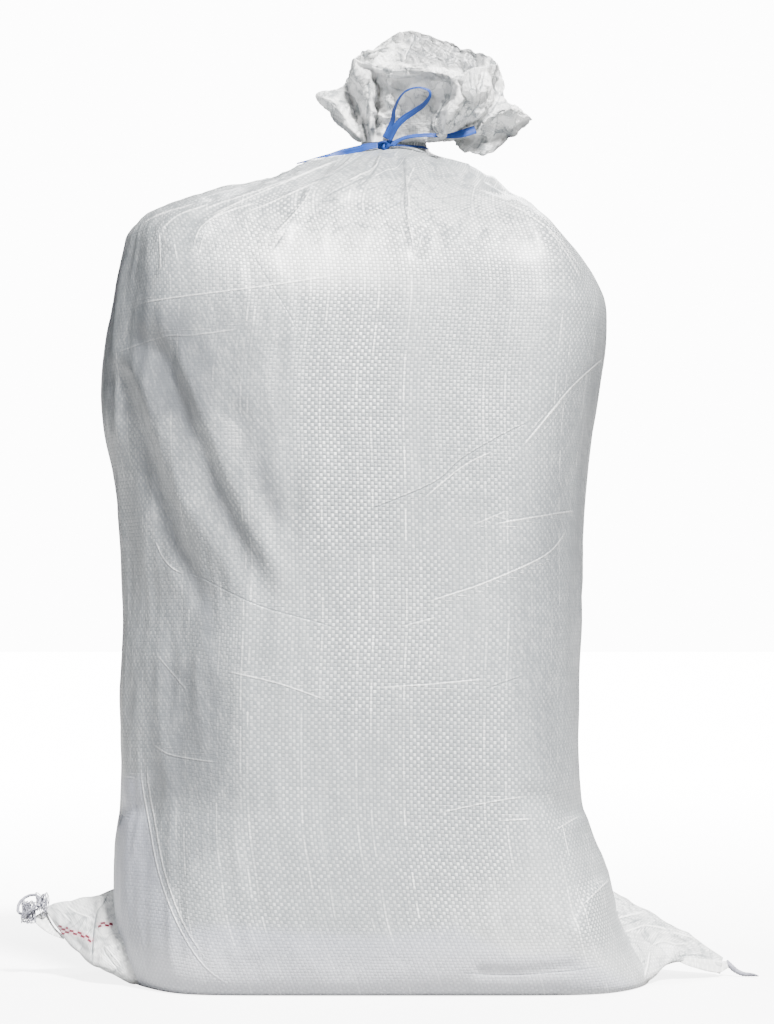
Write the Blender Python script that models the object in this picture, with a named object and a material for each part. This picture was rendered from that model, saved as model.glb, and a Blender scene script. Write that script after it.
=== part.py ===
"""Woven polypropylene sack, filled and tied with a blue tape, standing upright.

Metres, +Z up. The front faces -Y and the origin is under the middle of the sack, on
the floor. The filled sack is one loft of closed rings, from the flat bottom over the
body and the shoulders, through the tied neck, out to the rim of the frill and back
down into its dish. The two bottom corners of the flat sack stand out as ears.
"""

import math

import bmesh
import bpy
import numpy as np
from mathutils import Vector, noise

# Driving dimensions
NECK_CENTRE_X = 0.012
NECK_FOOT = 0.6145
NECK_TOP = 0.6220
NECK_HALF_WIDTH = 0.026
NECK_HALF_DEPTH = 0.022
RING_POINTS = 84
BODY_RINGS = 48
GAP = 0.0003

# Body stations: height, left edge, right edge, front depth, back depth
BODY_STATIONS = [
    (0.000, -0.186, 0.202, 0.126, 0.122),
    (0.009, -0.191, 0.203, 0.137, 0.133),
    (0.028, -0.195, 0.193, 0.146, 0.142),
    (0.053, -0.198, 0.180, 0.151, 0.148),
    (0.068, -0.199, 0.176, 0.152, 0.150),
    (0.086, -0.198, 0.170, 0.154, 0.153),
    (0.108, -0.196, 0.160, 0.156, 0.154),
    (0.130, -0.193, 0.153, 0.157, 0.156),
    (0.175, -0.193, 0.152, 0.159, 0.158),
    (0.220, -0.192, 0.152, 0.160, 0.160),
    (0.265, -0.191, 0.155, 0.160, 0.160),
    (0.310, -0.192, 0.155, 0.160, 0.160),
    (0.355, -0.195, 0.157, 0.160, 0.160),
    (0.377, -0.198, 0.159, 0.159, 0.159),
    (0.400, -0.203, 0.162, 0.157, 0.157),
    (0.422, -0.207, 0.166, 0.155, 0.155),
    (0.445, -0.208, 0.169, 0.152, 0.153),
    (0.468, -0.206, 0.172, 0.149, 0.150),
    (0.500, -0.202, 0.174, 0.142, 0.144),
    (0.518, -0.199, 0.167, 0.137, 0.139),
    (0.536, -0.195, 0.156, 0.129, 0.131),
    (0.551, -0.191, 0.141, 0.120, 0.122),
    (0.560, -0.186, 0.133, 0.113, 0.115),
    (0.566, -0.179, 0.127, 0.108, 0.110),
    (0.572, -0.170, 0.121, 0.102, 0.104),
    (0.578, -0.157, 0.113, 0.095, 0.097),
    (0.584, -0.138, 0.105, 0.088, 0.089),
    (0.589, -0.117, 0.097, 0.080, 0.081),
    (0.595, -0.099, 0.090, 0.072, 0.072),
    (0.600, -0.082, 0.084, 0.063, 0.063),
    (0.605, -0.065, 0.075, 0.053, 0.053),
    (0.609, -0.045, 0.060, 0.042, 0.042),
    (0.613, -0.028, 0.047, 0.032, 0.032),
]

# Flat flanks of the front: height, where the left one starts and the depth in front of
# the middle where it ends at the side, then the same for the right one
FLANKS = [
    (0.000, -0.136, 0.054, 0.158, 0.072),
    (0.034, -0.131, 0.060, 0.151, 0.075),
    (0.086, -0.114, 0.070, 0.130, 0.085),
    (0.130, -0.103, 0.070, 0.119, 0.090),
    (0.205, -0.099, 0.068, 0.111, 0.092),
    (0.280, -0.096, 0.068, 0.110, 0.092),
    (0.355, -0.113, 0.070, 0.113, 0.090),
    (0.430, -0.135, 0.070, 0.124, 0.085),
    (0.490, -0.148, 0.066, 0.137, 0.080),
    (0.543, -0.148, 0.055, 0.122, 0.060),
]
FLANK_SHARPNESS = 14.0
BACK_CORNER = 0.80
FLANK_TOP = (0.545, 0.590)

# Folds pressed into the front: height, negative for a groove, half width, and the
# places across and up that the fold runs through
FOLDS = [
    (0.0022, 0.0120, [(-0.090, 0.306), (-0.098, 0.250), (-0.099, 0.193), (-0.098, 0.137), (-0.099, 0.080)]),
    (-0.0060, 0.0128, [(-0.145, 0.431), (-0.128, 0.384), (-0.114, 0.347), (-0.095, 0.306), (-0.075, 0.274)]),
    (-0.0050, 0.0100, [(-0.171, 0.420), (-0.162, 0.388), (-0.147, 0.345), (-0.132, 0.305), (-0.116, 0.260)]),
    (-0.0026, 0.0090, [(-0.103, 0.420), (-0.088, 0.388), (-0.076, 0.349), (-0.061, 0.317)]),
    (0.0030, 0.0085, [(-0.157, 0.424), (-0.145, 0.388), (-0.130, 0.345), (-0.117, 0.305), (-0.102, 0.274)]),
    (0.0028, 0.0085, [(-0.121, 0.417), (-0.110, 0.388), (-0.094, 0.345), (-0.074, 0.305), (-0.057, 0.274)]),
    (0.0030, 0.0090, [(0.140, 0.128), (0.155, 0.107), (0.166, 0.082)]),
    (0.0030, 0.0090, [(0.095, 0.567), (0.116, 0.542), (0.139, 0.510), (0.150, 0.504)]),
]

# Where the front turns to the sides, as the outward direction's share towards the
# front, and the heights over which the body's relief fades out
FRONT_TURN = (0.02, 0.25)
FOOT_FADE = (0.0, 0.03)
NECK_FADE = (0.598, 0.608)
FOLD_START_FADE = (0.0, 0.12)
FOLD_END_FADE = (0.70, 1.0)

# Hollows and swellings of the cloth over its fill: size across, depth and how far they
# are stretched upright
SWELL_SIZE = 0.11
SWELL = 0.0024
HOLLOW_SIZE = 0.07
HOLLOW = 0.0040
HOLLOW_SQUEEZE = 0.35
FRILL_HOLLOW_SIZE = 0.030
FRILL_HOLLOW = 0.0015
EAR_HOLLOW_SIZE = 0.028
EAR_HOLLOW = 0.0030
BROAD_HOLLOW = 1.6
FINE_HOLLOW = 0.8
FINE_SIZE = 0.47
SEED_STEP = 7.31
SWELL_SEED = 1
HOLLOW_SEED = 5
FRILL_SEED = 31
LEFT_EAR_SEED = 51
RIGHT_EAR_SEED = 57

# Frill: for each direction on the neck, in degrees from +X towards the back, the
# places that its cloth passes from low on the wall to the rim
FRILL_COLUMNS = [
    (5, [(0.061, 0.000, 0.627), (0.094, -0.010, 0.628), (0.110, -0.006, 0.636), (0.116, 0.001, 0.642)]),
    (15, [(0.057, 0.006, 0.626), (0.067, -0.004, 0.619), (0.082, -0.002, 0.617), (0.091, 0.002, 0.624)]),
    (28, [(0.054, 0.016, 0.634), (0.071, 0.016, 0.640), (0.091, 0.020, 0.652), (0.097, 0.022, 0.658)]),
    (40, [(0.049, 0.024, 0.643), (0.074, 0.032, 0.669), (0.090, 0.036, 0.686), (0.094, 0.036, 0.690)]),
    (55, [(0.040, 0.028, 0.650), (0.064, 0.036, 0.680), (0.076, 0.040, 0.697), (0.078, 0.040, 0.701)]),
    (73, [(0.030, 0.030, 0.654), (0.046, 0.038, 0.689), (0.054, 0.044, 0.707), (0.055, 0.044, 0.711)]),
    (92, [(0.017, 0.030, 0.655), (0.028, 0.040, 0.696), (0.030, 0.046, 0.716), (0.028, 0.046, 0.720)]),
    (113, [(0.002, 0.028, 0.655), (0.008, 0.040, 0.693), (0.015, 0.048, 0.713), (0.018, 0.048, 0.719)]),
    (133, [(-0.010, 0.022, 0.652), (-0.011, 0.034, 0.684), (-0.003, 0.040, 0.702), (0.001, 0.040, 0.708)]),
    (153, [(-0.019, 0.016, 0.648), (-0.025, 0.018, 0.670), (-0.021, 0.016, 0.685), (-0.019, 0.012, 0.690)]),
    (171, [(-0.020, 0.003, 0.632), (-0.033, 0.002, 0.646), (-0.043, 0.002, 0.658), (-0.045, 0.002, 0.662)]),
    (197, [(-0.017, -0.012, 0.628), (-0.029, -0.018, 0.646), (-0.041, -0.014, 0.658), (-0.044, -0.006, 0.662)]),
    (218, [(-0.008, -0.016, 0.630), (-0.013, -0.015, 0.658), (-0.017, -0.020, 0.675), (-0.019, -0.018, 0.684)]),
    (230, [(-0.004, -0.023, 0.628), (-0.006, -0.028, 0.652), (-0.008, -0.026, 0.671), (-0.008, -0.022, 0.680)]),
    (240, [(-0.001, -0.022, 0.628), (0.000, -0.022, 0.656), (0.000, -0.026, 0.671), (0.001, -0.026, 0.678)]),
    (250, [(0.005, -0.023, 0.627), (0.007, -0.028, 0.651), (0.010, -0.038, 0.667), (0.011, -0.036, 0.675)]),
    (262, [(0.012, -0.023, 0.626), (0.019, -0.029, 0.650), (0.023, -0.042, 0.666), (0.025, -0.042, 0.673)]),
    (275, [(0.020, -0.025, 0.626), (0.031, -0.032, 0.648), (0.036, -0.046, 0.664), (0.039, -0.048, 0.671)]),
    (290, [(0.031, -0.024, 0.626), (0.040, -0.033, 0.648), (0.049, -0.048, 0.661), (0.053, -0.052, 0.666)]),
    (303, [(0.038, -0.025, 0.627), (0.048, -0.039, 0.642), (0.057, -0.054, 0.658), (0.061, -0.056, 0.663)]),
    (312, [(0.041, -0.026, 0.628), (0.058, -0.049, 0.637), (0.064, -0.058, 0.658), (0.069, -0.050, 0.670)]),
    (323, [(0.044, -0.022, 0.627), (0.064, -0.044, 0.640), (0.077, -0.050, 0.664), (0.081, -0.038, 0.676)]),
    (335, [(0.050, -0.016, 0.626), (0.076, -0.036, 0.641), (0.086, -0.036, 0.666), (0.089, -0.024, 0.680)]),
    (348, [(0.056, -0.010, 0.627), (0.087, -0.028, 0.645), (0.094, -0.020, 0.669), (0.092, -0.012, 0.682)]),
    (357, [(0.060, -0.008, 0.628), (0.096, -0.024, 0.644), (0.110, -0.020, 0.644), (0.115, -0.006, 0.648)]),
]
WALL_STEPS = 2
WALL_START_FADE = (0.25, 0.45)
WALL_END_FADE = (0.70, 1.0)
DISH_FLOOR = 0.650
DISH_SHARES = (0.92, 0.75, 0.50, 0.25)
DISH_ROUNDNESS = 1.5

# Ears: the corners of the flat sack. Each station runs from the ridge down the front
# to the floor, and the back mirrors it.
LEFT_EAR = [
    [(-0.170, -0.008, 0.065), (-0.166, -0.040, 0.054), (-0.163, -0.060, 0.041), (-0.158, -0.068, 0.027),
     (-0.152, -0.056, 0.001)],
    [(-0.194, -0.008, 0.065), (-0.190, -0.040, 0.054), (-0.187, -0.060, 0.041), (-0.182, -0.075, 0.027),
     (-0.176, -0.062, 0.001)],
    [(-0.205, -0.005, 0.060), (-0.203, -0.022, 0.052), (-0.200, -0.038, 0.039), (-0.196, -0.052, 0.026),
     (-0.192, -0.056, 0.008)],
    [(-0.216, -0.003, 0.057), (-0.210, -0.016, 0.051), (-0.208, -0.030, 0.037), (-0.208, -0.042, 0.023),
     (-0.208, -0.046, 0.013)],
    [(-0.227, -0.002, 0.055), (-0.224, -0.010, 0.049), (-0.223, -0.018, 0.039), (-0.219, -0.026, 0.027),
     (-0.218, -0.030, 0.020)],
    [(-0.239, -0.001, 0.053), (-0.236, -0.006, 0.048), (-0.234, -0.010, 0.040), (-0.231, -0.013, 0.033),
     (-0.229, -0.015, 0.027)],
    [(-0.258, -0.001, 0.052), (-0.2585, -0.003, 0.047), (-0.253, -0.004, 0.042), (-0.248, -0.005, 0.036),
     (-0.242, -0.006, 0.031)],
]
RIGHT_EAR = [
    [(0.146, -0.008, 0.065), (0.144, -0.040, 0.056), (0.143, -0.060, 0.040), (0.152, -0.068, 0.018),
     (0.166, -0.056, 0.001)],
    [(0.170, -0.008, 0.065), (0.168, -0.040, 0.056), (0.167, -0.065, 0.040), (0.177, -0.074, 0.018),
     (0.192, -0.062, 0.001)],
    [(0.188, -0.006, 0.057), (0.185, -0.034, 0.048), (0.185, -0.050, 0.036), (0.186, -0.062, 0.020),
     (0.200, -0.056, 0.004)],
    [(0.205, -0.005, 0.049), (0.201, -0.028, 0.039), (0.202, -0.040, 0.029), (0.201, -0.050, 0.021),
     (0.210, -0.044, 0.008)],
    [(0.223, -0.004, 0.038), (0.220, -0.020, 0.030), (0.219, -0.030, 0.023), (0.220, -0.034, 0.019),
     (0.223, -0.030, 0.008)],
    [(0.241, -0.002, 0.025), (0.238, -0.012, 0.019), (0.238, -0.018, 0.015), (0.239, -0.020, 0.012),
     (0.239, -0.018, 0.005)],
    [(0.259, -0.001, 0.010), (0.258, -0.005, 0.008), (0.257, -0.007, 0.006), (0.257, -0.007, 0.004),
     (0.256, -0.008, 0.001)],
]
EAR_RINGS = 16
EAR_RING_POINTS = 30
EAR_TIP_FADE = (0.80, 0.95)
EAR_LIFT = 0.0005

# Blue tie tape, twisted into a cord of about this diameter
TIE_DIAMETER = 0.0030
WRAP_MIDDLE = 0.6180
WRAP_HEIGHT = 0.0056
WRAP_THICKNESS = 0.0020
KNOT_RADIUS = 0.0045
KNOT_CENTRE = (0.0060, -0.0272, 0.6185)

# Profile of the wrap: share of its thickness and of its half height
WRAP_PROFILE = [(0.7, -1.0), (1.0, -0.5), (0.8, 0.0), (1.0, 0.5), (0.7, 1.0)]

LOOP_ROUTE = [
    (0.0062, -0.0270, 0.6238),
    (0.0086, -0.0286, 0.6290),
    (0.0115, -0.0312, 0.6355),
    (0.0128, -0.0355, 0.6430),
    (0.0160, -0.0410, 0.6500),
    (0.0215, -0.0455, 0.6555),
    (0.0300, -0.0490, 0.6575),
    (0.0380, -0.0495, 0.6555),
    (0.0392, -0.0480, 0.6515),
    (0.0350, -0.0445, 0.6460),
    (0.0275, -0.0410, 0.6410),
    (0.0200, -0.0380, 0.6365),
    (0.0146, -0.0352, 0.6315),
    (0.0112, -0.0326, 0.6262),
    (0.0088, -0.0306, 0.6218),
]
LEFT_TAIL_ROUTE = [
    (0.0006, -0.0285, 0.6180),
    (-0.0081, -0.0270, 0.6172),
    (-0.0170, -0.0245, 0.6152),
    (-0.0259, -0.0225, 0.6136),
    (-0.0350, -0.0240, 0.6114),
    (-0.0430, -0.0320, 0.6086),
    (-0.0510, -0.0400, 0.6050),
    (-0.0590, -0.0450, 0.6020),
]
RIGHT_TAIL_ROUTE = [
    (0.0112, -0.0288, 0.6184),
    (0.0164, -0.0295, 0.6218),
    (0.0238, -0.0310, 0.6240),
    (0.0348, -0.0330, 0.6249),
    (0.0452, -0.0335, 0.6245),
    (0.0540, -0.0330, 0.6243),
    (0.0629, -0.0320, 0.6261),
    (0.0733, -0.0310, 0.6294),
]

# Sewing thread of the bottom seam, where its ends hang out of the ears
THREAD_DIAMETER = 0.0020
LEFT_THREAD_ROUTE = [
    (-0.2588, -0.0015, 0.0478),
    (-0.2630, -0.0010, 0.0455),
    (-0.2675, -0.0020, 0.0475),
    (-0.2670, 0.0020, 0.0535),
    (-0.2620, 0.0040, 0.0580),
    (-0.2560, 0.0020, 0.0595),
    (-0.2510, -0.0040, 0.0575),
    (-0.2520, -0.0100, 0.0535),
    (-0.2580, -0.0110, 0.0490),
    (-0.2640, -0.0080, 0.0430),
]
RIGHT_THREAD_ROUTE = [
    (0.2603, 0.0000, 0.0099),
    (0.2630, -0.0015, 0.0075),
    (0.2670, -0.0040, 0.0040),
    (0.2715, -0.0065, 0.0020),
    (0.2765, -0.0090, 0.0013),
    (0.2800, -0.0130, 0.0013),
    (0.2820, -0.0185, 0.0013),
]
ROUTE_STEPS = 24
POINT_SPACING = 2.5

# Colour, roughness and metallic value of each material
SACK_FABRIC = ("sack_fabric", (0.80, 0.82, 0.84), 0.42, 0.0)
TIE_TAPE = ("tie_tape", (0.05, 0.16, 0.50), 0.35, 0.0)
SEAM_THREAD = ("seam_thread", (0.62, 0.62, 0.66), 0.70, 0.0)

# Direction of each point of a ring, from +X towards the back
ANGLES = np.linspace(0.0, math.tau, RING_POINTS, endpoint=False)


def clear_scene():
    """Remove what the file opens with."""
    for old in list(bpy.data.objects):
        bpy.data.objects.remove(old, do_unlink=True)


def principled(name, colour, roughness, metallic):
    """One plain material per finish."""
    material = bpy.data.materials.new(name)
    material.use_nodes = True
    shader = material.node_tree.nodes["Principled BSDF"]
    shader.inputs["Base Color"].default_value = (*colour, 1.0)
    shader.inputs["Roughness"].default_value = roughness
    shader.inputs["Metallic"].default_value = metallic
    return material


def add_object(name, data, material):
    """Put a mesh or curve in the scene under its node's name."""
    data.materials.append(material)
    piece = bpy.data.objects.new(name, data)
    bpy.context.collection.objects.link(piece)
    return piece


def ease(low, high, values):
    """Smooth step from 0 at low to 1 at high."""
    share = np.clip((values - low) / (high - low), 0.0, 1.0)
    return share * share * (3 - 2 * share)


def catmull(before, start, end, after, t):
    """One point of the smooth curve between start and end."""
    return 0.5 * (
        2 * start
        + (end - before) * t
        + (2 * before - 5 * start + 4 * end - after) * t ** 2
        + (3 * start - before - 3 * end + after) * t ** 3
    )


def cloth_noise(points, size, seed):
    """Smooth noise from -1 to 1 with features of about a size."""
    flat = points.reshape(-1, 3) / size + seed * SEED_STEP
    return np.array([noise.noise(Vector(point)) for point in flat]).reshape(points.shape[:-1])


def hollows(points, size, seed):
    """Sharp valleys between soft swellings, from 0 down to about -1."""
    broad = abs(cloth_noise(points, size, seed))
    fine = abs(cloth_noise(points, size * FINE_SIZE, seed + 3))
    return -BROAD_HOLLOW * broad - FINE_HOLLOW * fine


def outward(rings):
    """Outward directions of a grid of closed rings."""
    along = np.gradient(rings, axis=0)
    across = np.roll(rings, -1, axis=1) - np.roll(rings, 1, axis=1)
    normal = np.cross(across, along)
    return normal / np.maximum(np.linalg.norm(normal, axis=2, keepdims=True), 1e-12)


def body_table():
    """Height, edges and depths of each ring of the body, evenly along its profile."""
    table = np.array(BODY_STATIONS)
    steps = np.diff(table, axis=0)
    length = np.hypot(steps[:, 0], abs(steps[:, 1:4]).mean(axis=1))
    travelled = np.concatenate(([0.0], np.cumsum(length)))
    even = np.linspace(0.0, travelled[-1], BODY_RINGS)
    return np.stack([np.interp(even, travelled, column) for column in table.T], axis=1)


def flank_reach(angle, left, right, front, back, flank):
    """Reach of a ring with flat flanks at the front, from the middle of the ring."""
    left_start, left_side, right_start, right_side = flank
    half = (right - left) / 2
    middle = (right + left) / 2
    sides = [(-math.pi / 2, front), (math.pi / 2, back), (0.0, half), (math.pi, half)]
    for start, side, edge in ((left_start, left_side, -half), (right_start, right_side, half)):
        run = edge - (start - middle)
        normal = math.atan2(-abs(run), math.copysign(front - side, run))
        sides.append((normal, abs((start - middle) * math.cos(normal) - front * math.sin(normal))))
    slant = math.atan2(half, back)
    corner = BACK_CORNER * math.hypot(half, back)
    sides += [(slant, corner), (math.pi - slant, corner)]
    total = sum((np.maximum(np.cos(angle - turn), 0.0) / reach) ** FLANK_SHARPNESS for turn, reach in sides)
    return total ** (-1 / FLANK_SHARPNESS)


def oval(left, right, front, back, height):
    """One closed oval ring at a constant height."""
    sine = np.sin(ANGLES)
    x = (left + right) / 2 + (right - left) / 2 * np.cos(ANGLES)
    y = np.where(sine < 0, front, back) * sine
    return np.stack((x, y, np.full(RING_POINTS, height)), axis=1)


def body_ring(station, flank):
    """One ring of the body: flat flanks low down, oval at the shoulders."""
    height, left, right, front, back = station
    ring = oval(left, right, front, back, height)
    middle = np.array(((left + right) / 2, 0.0, height))
    off = ring - middle
    angle = np.arctan2(off[:, 1], off[:, 0])
    reach = flank_reach(angle, left, right, front, back, flank)
    flat = np.stack((reach * np.cos(angle), reach * np.sin(angle), 0.0 * reach), axis=1)
    for axis in (0, 1):
        low = off[:, axis].min() / flat[:, axis].min()
        high = off[:, axis].max() / flat[:, axis].max()
        flat[:, axis] *= np.where(flat[:, axis] < 0, low, high)
    return middle + flat + (off - flat) * ease(*FLANK_TOP, height)


def fold_push(rings):
    """How far the folds push each point out or in."""
    push = np.zeros(rings.shape[:2])
    place = rings[..., (0, 2)]
    for height, half_width, route in FOLDS:
        route = np.array(route)
        lengths = np.linalg.norm(np.diff(route, axis=0), axis=1)
        travelled = np.concatenate(([0.0], np.cumsum(lengths))) / lengths.sum()
        closest = np.full(push.shape, np.inf)
        share = np.zeros(push.shape)
        for index, start in enumerate(route[:-1]):
            step = route[index + 1] - start
            along = np.clip((place - start) @ step / (step @ step), 0.0, 1.0)
            away = np.linalg.norm(place - start - along[..., None] * step, axis=-1)
            span = travelled[index + 1] - travelled[index]
            share = np.where(away < closest, travelled[index] + along * span, share)
            closest = np.minimum(closest, away)
        fade = ease(*FOLD_START_FADE, share) * (1 - ease(*FOLD_END_FADE, share))
        push += height * fade * np.exp(-((closest / half_width) ** 2))
    return push


def body_rings():
    """The filled body with its folds and hollows."""
    table = body_table()
    flanks = np.array(FLANKS)
    rings = []
    for station in table:
        flank = [np.interp(station[0], flanks[:, 0], column) for column in flanks.T[1:]]
        rings.append(body_ring(station, flank))
    rings = np.array(rings)
    normals = outward(rings)
    facing = ease(*FRONT_TURN, -normals[..., 1])
    keep = ease(*FOOT_FADE, rings[..., 2]) * (1 - ease(*NECK_FADE, rings[..., 2]))
    squeezed = rings * np.array((1.0, 1.0, HOLLOW_SQUEEZE))
    push = cloth_noise(rings, SWELL_SIZE, SWELL_SEED) * SWELL
    push += hollows(squeezed, HOLLOW_SIZE, HOLLOW_SEED) * HOLLOW * (1 - facing)
    rings = rings + normals * ((push + fold_push(rings) * facing) * keep)[..., None]
    rings[..., 2] = np.maximum(rings[..., 2], 0.0)
    rings[0, :, 2] = 0.0
    return list(rings)


def neck_ring(height, spread=0.0):
    """One ring of the tied neck."""
    left = NECK_CENTRE_X - NECK_HALF_WIDTH - spread
    right = NECK_CENTRE_X + NECK_HALF_WIDTH + spread
    depth = NECK_HALF_DEPTH + spread
    return oval(left, right, depth, depth, height)


def frill_rings():
    """The wall of the frill up to its rim, and its dish back down to the neck."""
    count = len(FRILL_COLUMNS)
    turns = np.radians([column[0] for column in FRILL_COLUMNS])
    onward = np.where(ANGLES < turns[0], ANGLES + math.tau, ANGLES)
    around = np.interp(onward, np.append(turns, turns[0] + math.tau), np.arange(count + 1))
    places = np.array([column[1] for column in FRILL_COLUMNS])
    levels = [neck_ring(NECK_TOP)]
    for level in range(places.shape[1]):
        ring = []
        for share in around:
            index = int(share)
            near = [places[(index + step) % count, level] for step in (-1, 0, 1, 2)]
            ring.append(catmull(*near, share - index))
        levels.append(np.array(ring))
    ends = [2 * levels[0] - levels[1]] + levels + [2 * levels[-1] - levels[-2]]
    wall = []
    for four in zip(ends, ends[1:], ends[2:], ends[3:]):
        wall.extend(catmull(*four, step / WALL_STEPS) for step in range(WALL_STEPS))
    wall = np.array(wall + [levels[-1]])
    share = np.linspace(0.0, 1.0, len(wall))[:, None]
    loose = ease(*WALL_START_FADE, share) * (1 - ease(*WALL_END_FADE, share))
    crush = hollows(wall, FRILL_HOLLOW_SIZE, FRILL_SEED) * FRILL_HOLLOW + FRILL_HOLLOW / 2
    wall = wall + outward(wall) * (crush * loose)[..., None]
    rim = wall[-1]
    centre = np.array((NECK_CENTRE_X, 0.0, DISH_FLOOR))
    rings = list(wall)
    for size in DISH_SHARES:
        ring = centre + (rim - centre) * size
        ring[:, 2] = DISH_FLOOR + (rim[:, 2] - DISH_FLOOR) * size ** DISH_ROUNDNESS
        rings.append(ring)
    return rings


def loft(mesh, rings, capped=True):
    """Join closed rings with bands of faces, and close both ends or join them."""
    rows = [[mesh.verts.new(point) for point in ring] for ring in rings]
    count = len(rings[0])
    uppers = rows[1:] if capped else rows[1:] + rows[:1]
    for lower, upper in zip(rows, uppers):
        for index in range(count):
            after = (index + 1) % count
            mesh.faces.new((lower[index], lower[after], upper[after], upper[index]))
    if capped:
        mesh.faces.new(list(reversed(rows[0])))
        mesh.faces.new(rows[-1])


def mesh_from(mesh, name):
    """Turn a bmesh into a mesh with its faces pointing out."""
    bmesh.ops.recalc_face_normals(mesh, faces=mesh.faces[:])
    data = bpy.data.meshes.new(name)
    mesh.to_mesh(data)
    mesh.free()
    return data


def resample(cage, rows, closed):
    """An even number of rows on the smooth curve through a cage's rows."""
    count = len(cage)
    last = count if closed else count - 1
    spans = np.linspace(0.0, last, rows, endpoint=not closed)
    fine = []
    for span in spans:
        index = min(int(span), last - 1)
        if closed:
            near = [cage[(index + step) % count] for step in (-1, 0, 1, 2)]
        else:
            near = [cage[min(max(index + step, 0), last)] for step in (-1, 0, 1, 2)]
        fine.append(catmull(*near, span - index))
    return np.array(fine)


def ear(name, stations, seed):
    """A folded corner as a closed loft. It is only a tool for the union."""
    front = np.array(stations)
    back = front * np.array((1.0, -1.0, 1.0))
    under = (front[:, -1:] + back[:, -1:]) / 2
    cage = np.concatenate((front, under, back[:, :0:-1]), axis=1)
    rings = resample(cage, EAR_RINGS, closed=False)
    rings = resample(rings.transpose(1, 0, 2), EAR_RING_POINTS, closed=True).transpose(1, 0, 2)
    share = np.linspace(0.0, 1.0, EAR_RINGS)[:, None]
    push = hollows(rings, EAR_HOLLOW_SIZE, seed) * EAR_HOLLOW * (1 - ease(*EAR_TIP_FADE, share))
    rings = rings + outward(rings) * push[..., None]
    rings[..., 2] = np.maximum(rings[..., 2], EAR_LIFT)
    mesh = bmesh.new()
    loft(mesh, rings)
    tool = bpy.data.objects.new(name, mesh_from(mesh, name))
    bpy.context.collection.objects.link(tool)
    tool.hide_render = True
    tool.display_type = "WIRE"
    return tool


def join(piece, tool):
    """Union a tool into a piece."""
    union = piece.modifiers.new(tool.name, "BOOLEAN")
    union.operation = "UNION"
    union.solver = "EXACT"
    union.object = tool


def make_sack(material):
    """The filled sack: body, neck, frill and the two ears as one closed solid."""
    rings = body_rings() + [neck_ring(NECK_FOOT)] + frill_rings()
    mesh = bmesh.new()
    loft(mesh, rings)
    sack = add_object("sack", mesh_from(mesh, "sack"), material)
    sack.data.shade_smooth()
    join(sack, ear("left_ear", LEFT_EAR, LEFT_EAR_SEED))
    join(sack, ear("right_ear", RIGHT_EAR, RIGHT_EAR_SEED))
    return sack


def make_tie_wrap(material):
    """The turns of tape around the neck, with the knot at the front."""
    half = WRAP_HEIGHT / 2
    rings = [neck_ring(WRAP_MIDDLE - half, GAP)]
    for thickness, lift in WRAP_PROFILE:
        rings.append(neck_ring(WRAP_MIDDLE + half * lift, GAP + WRAP_THICKNESS * thickness))
    rings.append(neck_ring(WRAP_MIDDLE + half, GAP))
    mesh = bmesh.new()
    loft(mesh, rings, capped=False)
    wrap = add_object("tie_wrap", mesh_from(mesh, "tie_wrap"), material)
    wrap.data.shade_smooth()

    lump = bmesh.new()
    bmesh.ops.create_icosphere(lump, subdivisions=2, radius=KNOT_RADIUS)
    bmesh.ops.translate(lump, verts=lump.verts[:], vec=KNOT_CENTRE)
    knot = bpy.data.objects.new("knot", mesh_from(lump, "knot"))
    bpy.context.collection.objects.link(knot)
    knot.hide_render = True
    knot.display_type = "WIRE"
    join(wrap, knot)
    return wrap


def smooth_route(route, spacing):
    """Points at about even spacing on the smooth curve through a cord's route."""
    points = [Vector(point) for point in route]
    padded = [points[0] * 2 - points[1]] + points + [points[-1] * 2 - points[-2]]
    fine = []
    for four in zip(padded, padded[1:], padded[2:], padded[3:]):
        fine.extend(catmull(*four, step / ROUTE_STEPS) for step in range(ROUTE_STEPS))
    fine.append(points[-1])
    length = sum((b - a).length for a, b in zip(fine, fine[1:]))
    count = max(6, round(length / spacing))
    picked = [fine[0]]
    travelled = 0.0
    for a, b in zip(fine, fine[1:]):
        travelled += (b - a).length
        if travelled >= length * len(picked) / count and len(picked) < count:
            picked.append(b)
    picked.append(fine[-1])
    return picked


def make_cord(name, route, diameter, material):
    """A free length of tape or thread, as a plain round tube."""
    curve = bpy.data.curves.new(name, "CURVE")
    curve.dimensions = "3D"
    curve.bevel_depth = diameter / 2
    curve.bevel_resolution = 2
    curve.use_fill_caps = True
    points = smooth_route(route, diameter * POINT_SPACING)
    spline = curve.splines.new("POLY")
    spline.points.add(len(points) - 1)
    for slot, point in zip(spline.points, points):
        slot.co = (*point, 1.0)
    return add_object(name, curve, material)


def main():
    clear_scene()
    fabric = principled(*SACK_FABRIC)
    tape = principled(*TIE_TAPE)
    thread = principled(*SEAM_THREAD)
    make_sack(fabric)
    make_tie_wrap(tape)
    make_cord("tie_loop", LOOP_ROUTE, TIE_DIAMETER, tape)
    make_cord("tie_tail_left", LEFT_TAIL_ROUTE, TIE_DIAMETER, tape)
    make_cord("tie_tail_right", RIGHT_TAIL_ROUTE, TIE_DIAMETER, tape)
    make_cord("thread_tail_left", LEFT_THREAD_ROUTE, THREAD_DIAMETER, thread)
    make_cord("thread_tail_right", RIGHT_THREAD_ROUTE, THREAD_DIAMETER, thread)


main()
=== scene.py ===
"""Filled woven polypropylene sack: the looks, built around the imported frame.

The front of the sack is set out against the photograph: a camera stands where the
photograph's did, and places on the front are given as a pixel column and row with a
depth behind the middle of the sack. Everything else is in metres.
"""

import math

import bmesh
import bpy
import numpy as np
from bpy.props import FloatProperty, FloatVectorProperty, PointerProperty
from mathutils import Matrix, Vector, noise
from mathutils.kdtree import KDTree


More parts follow.
